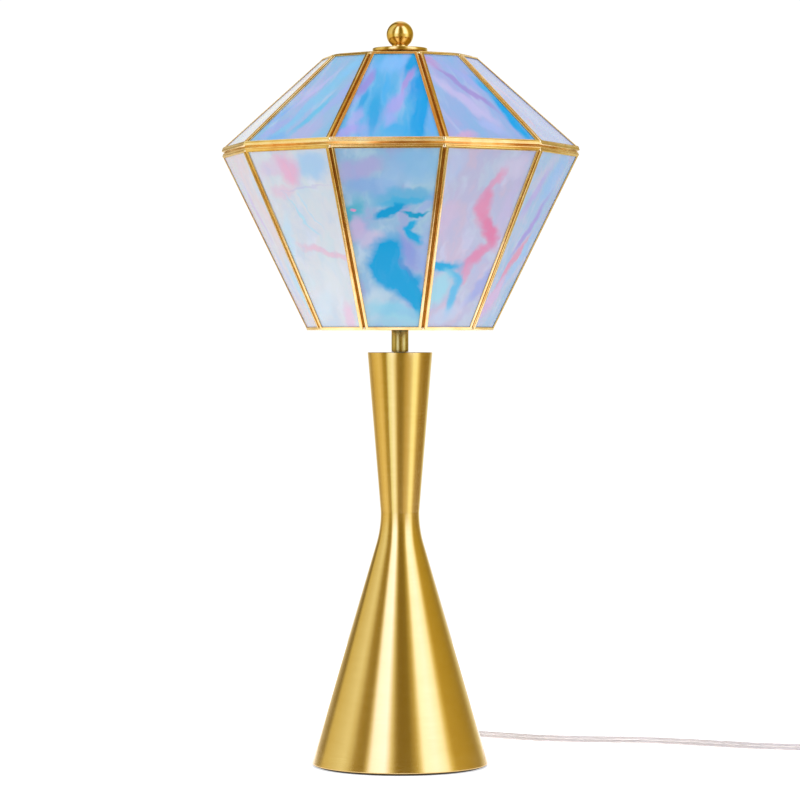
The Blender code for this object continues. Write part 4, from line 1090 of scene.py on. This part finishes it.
def make_top(brushed, polished, hardware, steel):
    """Vented plate with a pressed hub, the thin disc, the ball and its bush, and the stud."""
    low, high = extent("shade_top_plate")
    apothem, hub_top = -low.y, high.z
    plate_low, plate_top = low.z, low.z + 1.2
    corner = 54.5

    def ten_sided(radius, height, angle):
        wedge = (angle + math.pi / 2 + HALF_SIDE) % (2 * HALF_SIDE) - HALF_SIDE
        limit = min(corner, (apothem - 0.1) / math.cos(wedge))
        return (min(1.0, limit / corner) * radius if radius > 45 else radius), height

    profile = [(3.5, hub_top, 0.2), (14.6, hub_top, 1.0), (16.0, plate_top + 0.2, 0.6)]
    profile += [(20, plate_top), (30, plate_top), (45, plate_top), (corner, plate_top, 0.3)]
    profile += [(corner, plate_low, 0.3), (45, plate_low), (20, plate_low), (14.5, plate_low, 0.4)]
    profile += [(13.4, hub_top - 1.3, 0.6), (3.5, hub_top - 1.3)]
    sheet = lathe("top_plate", rounded(profile, True), 120, closed=True, ripple=ten_sided)
    vents = [plug_of(4.5, 540, 520, centre=spot) for spot in arc((0, 0), 36, math.pi / 5, math.pi * 9 / 5, 4)]
    bored(sheet, *vents)
    show(sheet, hardware, "shade", HARDWARE_SLOT, "shade_top_plate")

    radius, low, high = turned_size("shade_disc")
    disc = [(3.5, high, 0.2), (radius, high, 0.9), (radius, low, 0.9), (3.5, low, 0.2)]
    turned("disc", disc, brushed, "shade", BRUSHED_SLOT, "shade_disc")

    radius, foot, top = turned_size("finial_ball")
    ball = arc((0, top - radius), radius, math.pi / 2, -math.acos(6.0 / radius), 48)
    ball[0] = (0, top)
    ball += [(6.0, foot), (4.9, foot), (4.9, foot + 11), (0, foot + 11)]
    turned("ball", ball, polished, "finial", "polished_brass", "finial_ball", 96, ring=False)

    outer, low, high = turned_size("finial_insert")
    bore = 3.55
    bush = rounded([(3.9, high), (outer, high, 0.2), (outer, low, 0.2), (3.9, low)])
    bush += [(bore, z) for z in steps_between(low + 0.4, high - 0.4, 0.12)]
    turned("bush", bush, hardware, "finial_core", HARDWARE_SLOT, "finial_insert", 48,
           ripple=threaded(0.3, STUD_PITCH, lambda radius, height: radius == bore))

    low, high = (corner.z for corner in extent("harp_stud"))
    seat_top, shank = 533.1, 3.1
    stud = [(0, high), (2.5, high)] + [(shank, z) for z in steps_between(high - 0.6, seat_top + 0.8, 0.12)]
    seat_low = seat_top - 3.3
    seat = [(3.0, seat_top + 0.4), (3.0, seat_top), (9, seat_top, 0.5), (9, seat_low, 0.5), (shank, seat_low)]
    stud += rounded([*seat, (shank, low + 2.2), (4.6, low + 2.2, 0.3), (4.2, low, 1.2), (0, low)])
    turned("stud", stud, steel, "shade", "zinc_steel", "harp_stud", 48, ring=False,
           ripple=threaded(0.35, STUD_PITCH, lambda radius, height: radius == shank and height > seat_top))


# Harp, socket and bulb -------------------------------------


def make_harp(brass):
    low, high = extent("harp_saddle")
    half, bottom, wide = high.x - 3.0, low.z, (high.y - low.y) / 2
    outline = [(x, y, 5.5) for x, y in ((-high.x, -wide), (high.x, -wide), (high.x, wide), (-high.x, wide))]
    outline = rounded(outline, True, 8)
    strap = plate("strap", *([(x, y, z) for x, y in outline] for z in (bottom, bottom + 1.5)))
    bevelled(bored(strap, plug_of(5.3, bottom + 5, bottom - 5)), 0.3)
    post = [(0, high.z), (2.0, high.z, 0.8), (2.0, bottom + 3.0), (2.7, bottom + 2.2, 0.3)]
    post += [(2.7, bottom + 1.5), (0, bottom + 1.4)]
    posts = [lathe(f"post_{x}", rounded(post), 32, centre=(x, 0)) for x in (-half, half)]
    show(joined("saddle", strap, *posts), brass, "root", HARDWARE_SLOT, "harp_saddle")

    low, high = extent("harp_bow")
    crown, belly, foot = high.z - 1.9, high.x - 1.7, low.z
    right = [(half, foot), (half, foot + 11), (half, foot + 22.7), (26, foot + 29.7), (36, foot + 47.7)]
    right += [(47, foot + 71.7), (belly, foot + 98.7), (50, foot + 123.7), (42, foot + 148.7)]
    right += [(31, foot + 165.7), (19, foot + 175.7), (9, crown), (3.4, crown)]
    path = smooth_route([(x, 0, z) for x, z in right], 3.0)
    arms = []
    for sign in (-1, 1):
        line = [Vector((sign * p.x, 0, p.z)) for p in path]
        arms.append(tube_along(f"arm_{sign}", line, circle(1.7, 16), [Vector((0, 1, 0))] * len(line), 60))
    eye = [(3.5, crown + 1.9, 0.3), (7.0, crown + 1.9, 1.2), (7.0, crown - 1.9, 1.2), (3.5, crown - 1.9, 0.3)]
    ring = lathe("eye", rounded(eye, True), 48, closed=True)
    show(joined("bow", *arms, ring), brass, "root", HARDWARE_SLOT, "harp_bow")

    for name in ("ferrule_left", "ferrule_right"):
        low, high = extent("harp_" + name)
        rim, foot, top = (high.y - low.y) / 2, low.z, high.z
        body = rim - 0.6
        profile = [(2.35, top), (body - 0.4, top, 0.4), (body, top - 0.9, 0.3)]
        for at in (top - 3, top - 4.5, top - 6):
            profile += [(body, at), (body - 0.25, at - 0.3), (body - 0.25, at - 0.6), (body, at - 0.9)]
        profile += [(body, foot + 1.4, 0.3), (rim, foot + 0.9, 0.3), (rim, foot, 0.3), (2.35, foot)]
        turned(name, profile, brass, name, HARDWARE_SLOT, "harp_" + name, 40, fine=3,
               centre=((low.x + high.x) / 2, 0))


def make_socket(brass, steel, knob):
    radius, low, high = turned_size("socket_cap")
    groove = radius - 0.5
    cap = [(radius - 0.8, high, 0.2), (radius, high, 0.3), (radius, high - 1.6), (groove, high - 2.0, 0.2)]
    cap += [(groove, high - 2.6, 0.2), (radius, high - 3.0), (radius, low + 5, 2.0), (radius - 3.5, low, 1.5)]
    cap += [(5.4, low, 0.2), (5.4, low + 0.8), (radius - 4.0, low + 0.8, 1.5), (radius - 0.8, low + 5.5, 1.5)]
    turned("cap", cap, brass, "root", HARDWARE_SLOT, "socket_cap", 80)

    radius, low, high = turned_size("socket_shell")
    wall = radius - 0.15
    shell = [(radius - 0.8, high, 0.1), (radius - 0.3, high, 0.2), (wall, high - 0.4), (wall, high - 3.0)]
    for at in (high - 4.2, high - 7.2):
        shell += [(wall, at + 0.6), (radius, at, 0.5), (wall, at - 0.6)]
    shell += [(wall, low + 14), (radius, low + 13.2, 0.4), (radius, low + 9.0, 0.4)]
    shell += [(radius - 0.3, low + 8.4, 0.3), (radius - 0.3, low + 0.3, 0.3), (radius - 0.8, low)]
    made = lathe("shell", rounded(shell, True, 4), 80, closed=True)
    bored(made, lay_along_y(plug_of(2.0, -5, -30, 24), SWITCH_HEIGHT))
    show(made, brass, "root", HARDWARE_SLOT, "socket_shell")

    outer, low, high = turned_size("screw_shell")
    inner = 13.45

    def screw(radius, height, angle):
        wave = 0.3 * math.cos(2 * math.pi * height / SCREW_PITCH - angle)
        return radius + (wave - 0.3 if radius > inner + 0.1 else wave * 0.4), height

    rows = steps_between(high, low, 0.45)
    wall = [(outer, z) for z in rows] + [(inner, z) for z in reversed(rows)]
    turned("screw", wall, brass, "root", HARDWARE_SLOT, "screw_shell", 64, ripple=screw)

    low, high = extent("switch_shaft")
    radius = (high.x - low.x) / 2
    shaft = [(0, high.y), (radius, high.y, 0.3), (radius, low.y, 0.3), (0, low.y)]
    shaft = turned("shaft", shaft, steel, "switch", "zinc_steel", "switch_shaft", 24, ring=False)
    lay_along_y(shaft, SWITCH_HEIGHT)

    low, high = extent("switch_key")
    hub = [(0, high.y), (3.6, high.y, 0.4), (3.8, high.y - 5, 0.3), (3.8, high.y - 8, 0.3), (0, high.y - 8)]
    hub = lay_along_y(lathe("hub", rounded(hub), 32), SWITCH_HEIGHT)
    wide, tall = high.x, (high.z - low.z) / 2
    shares = ((14, 0.42, 0.8), (12, 0.6, 0.95), (8, 0.9, 1.0), (4, 1.0, 0.92), (1, 0.95, 0.7), (0, 0.8, 0.4))
    paddle = loft("paddle", [(low.y + y, wide * w, tall * t, tall * t * 0.8) for y, w, t in shares])
    smooth = paddle.modifiers.new("smooth", "SUBSURF")
    smooth.levels = smooth.render_levels = 2
    ridges = [move(settle(paddle), z=SWITCH_HEIGHT)]
    bar = ((2, 0.3, 0.2, 0.1), (3, 0.5, 0.35, 0.2), (8, 0.5, 0.35, 0.2), (9, 0.3, 0.2, 0.1))
    for side in (-1, 1):
        for step in range(-2, 3):
            ridge = loft(f"ridge_{side}_{step}", [(low.y + y, *ring) for y, *ring in bar])
            ridges.append(move(ridge, step * 2.4, 0, SWITCH_HEIGHT + side * (tall - 0.35)))
    show(joined("key", hub, *ridges), knob, "switch", "black_phenolic", "switch_key")


def make_bulb(glass, brass, solder, knob):
    radius, low, high = turned_size("bulb_globe")
    globe = arc((0, high - radius), radius, math.pi / 2, -math.radians(38), 40)
    globe[0] = (0, high)
    below = [globe[-1], (17.5, 409), (14.2, 400), (12.8, low)]
    neck = smooth_route([(r, 0, z) for r, z in below], 1.2)
    globe += [(p.x, p.z) for p in neck[1:]] + [(0, low)]
    turned("globe", globe, glass, "bulb", "bulb_glass", "bulb_globe", 72, ring=False)

    radius, low, high = turned_size("bulb_cap")
    cap = [(0, high), (radius - 0.3, high, 0.3), (radius - 0.3, high - 2.6)]
    cap += [(radius, z) for z in steps_between(high - 3.0, low + 5.5, 0.3)]
    cap += [(radius - 1.5, low + 4.6), (11.2, low + 3.2, 0.8), (7.2, low + 0.2, 0.5), (0, low + 0.2)]
    turned("cap_thread", cap, brass, "bulb", HARDWARE_SLOT, "bulb_cap", 72, ring=False,
           ripple=threaded(0.7, SCREW_PITCH, lambda r, height: r == radius))
    insulator = rounded([(0, low + 1.4), (10.0, low + 1.4), (8.2, low - 0.02, 0.6), (0, low - 0.02)])
    show(lathe("cap_insulator", insulator, 48), knob, "bulb", "black_phenolic")

    low, high = extent("bulb_contact")
    tip = [(0, high.z), (5.0, high.z, 0.4), (4.4, low.z + 1.0, 0.8), (0, low.z)]
    turned("contact", tip, solder, "bulb_tip", "contact_solder", "bulb_contact", 32, ring=False)


def dress(look, *names):
    """Gives CAD nodes that stay as they are a better material."""
    for name in names:
        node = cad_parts[name]
        if not node.material_slots:
            node.data.materials.append(look)
        for place in node.material_slots:
            place.material = look


# The lamp --------------------------------------------------

bpy.context.scene.view_settings.view_transform = "Standard"
make_camera()
make_world()
make_stage()

brass_brushed = brushed_brass("brushed brass", "e9c98c", "dfbb7a", 0.18)
brass_polished = plain_metal("polished brass", "ecca86", "e2bc72", 0.12, 0.12)
stem_metal = plain_metal("stem nickel brass", "c9b684", "b09a66", 0.2, 0.15)
hardware = plain_metal("hardware brass", "d9b060", "b88a3c", 0.3, 0.35, 0.05)
steel = plain_metal("zinc steel", "b4b6b4", "8f9290", 0.36, 0.5, 0.04)
# Dark brown metal for the cone's lowest faces: painted shade under the foot, not a real bronze.
foot_painted_shade = plain_metal("edge bronze", "54401c", "3a2a10", 0.42, 0.3)
came = came_brass("came brass", "f0c282", "fad496", "ffe2b2")
# A lighter copy of the came brass for the girdle band: painted highlight, so the band reads cream-bright.
girdle_brass_lit = came_brass("girdle brass", "f6cc94", "fddaa6", "ffe8c2")
silver_solder = solder_metal("silver solder", "fff0d2", "e6c89a", 0.16)
brown_solder = solder_metal("seam solder", "b07a32", "8a5418", 0.3)
tin = solder_metal("contact solder", "c8c8c4", "9c9c98")
pad_felt = surface("black felt", "232324", "0f0f10", (2.4, 6.0), None, (0.4, 0.8, 3.5, 6.0, 0.7),
                   Roughness=0.96, Sheen_Weight=0.12, Sheen_Roughness=0.6)
iron = surface("cast iron", "3a3b3e", "1c1d1f", (0.5, 6.0), (0.55, 0.8, 1.2, 5.0),
               (0.35, 0.7, 1.3, 6.0, 0.7), Metallic=0.55)
card = matt("insulating card", "9a7c56", "7c603e", 0.85, 0.8)
phenolic = matt("black phenolic", "1e1d1c", "121110", 0.35, 0.9, 0.03)
white_plastic = matt("white nylon", "e2e2de", "cfcfca", 0.4, 0.8, 0.03)
bulb_glass = surface("frosted bulb", "f6f4ee", "e9e7e1", (0.15, 4.0), (0.24, 0.36, 0.6, 4.0),
                     (0.05, 0.2, 0.35, 3.0), Coat_Weight=0.3, Coat_Roughness=0.12,
                     Subsurface_Weight=0.25, Subsurface_Scale=0.004)
jacket = clear_plastic("clear vinyl", "fbf6f5")
moulded = clear_plastic("clear moulding", "f4efee", 0.2)
wire_look = stranded_wire()

cord, path = make_cord(jacket, wire_look)
plug_pieces = make_plug(moulded, hardware)
tie = make_tie(white_plastic)
bushing = make_bushing(moulded)

make_body(brass_brushed, stem_metal, pad_felt, foot_painted_shade)
glass_looks = {"crown": {}, "skirt": {}}
for tier_name, seen, flow in (("crown", CROWN_GLASS, 0.45), ("skirt", SKIRT_GLASS, 1.0)):
    for number in range(1, SIDES + 1):
        ground, swirls = seen[number] if number in seen else unseen_glass(tier_name, number)
        seed = number + (20 if tier_name == "skirt" else 0)
        name = f"{tier_name} glass {number:02d}"
        glass_looks[tier_name][number] = art_glass(name, seed, ground, swirls, flow)
make_shade(came, girdle_brass_lit, silver_solder, brown_solder, glass_looks)
make_top(brass_brushed, brass_polished, hardware, steel)
make_harp(hardware)
make_socket(hardware, steel, phenolic)
make_bulb(bulb_glass, hardware, tin, phenolic)
dress(iron, "base_ballast")
dress(steel, "tie_rod", "rod_nut", "rod_washer", "waist_coupler")
dress(card, "socket_liner")
dress(phenolic, "socket_core")
dress(hardware, "centre_contact")
dress(moulded, "inner_lead")
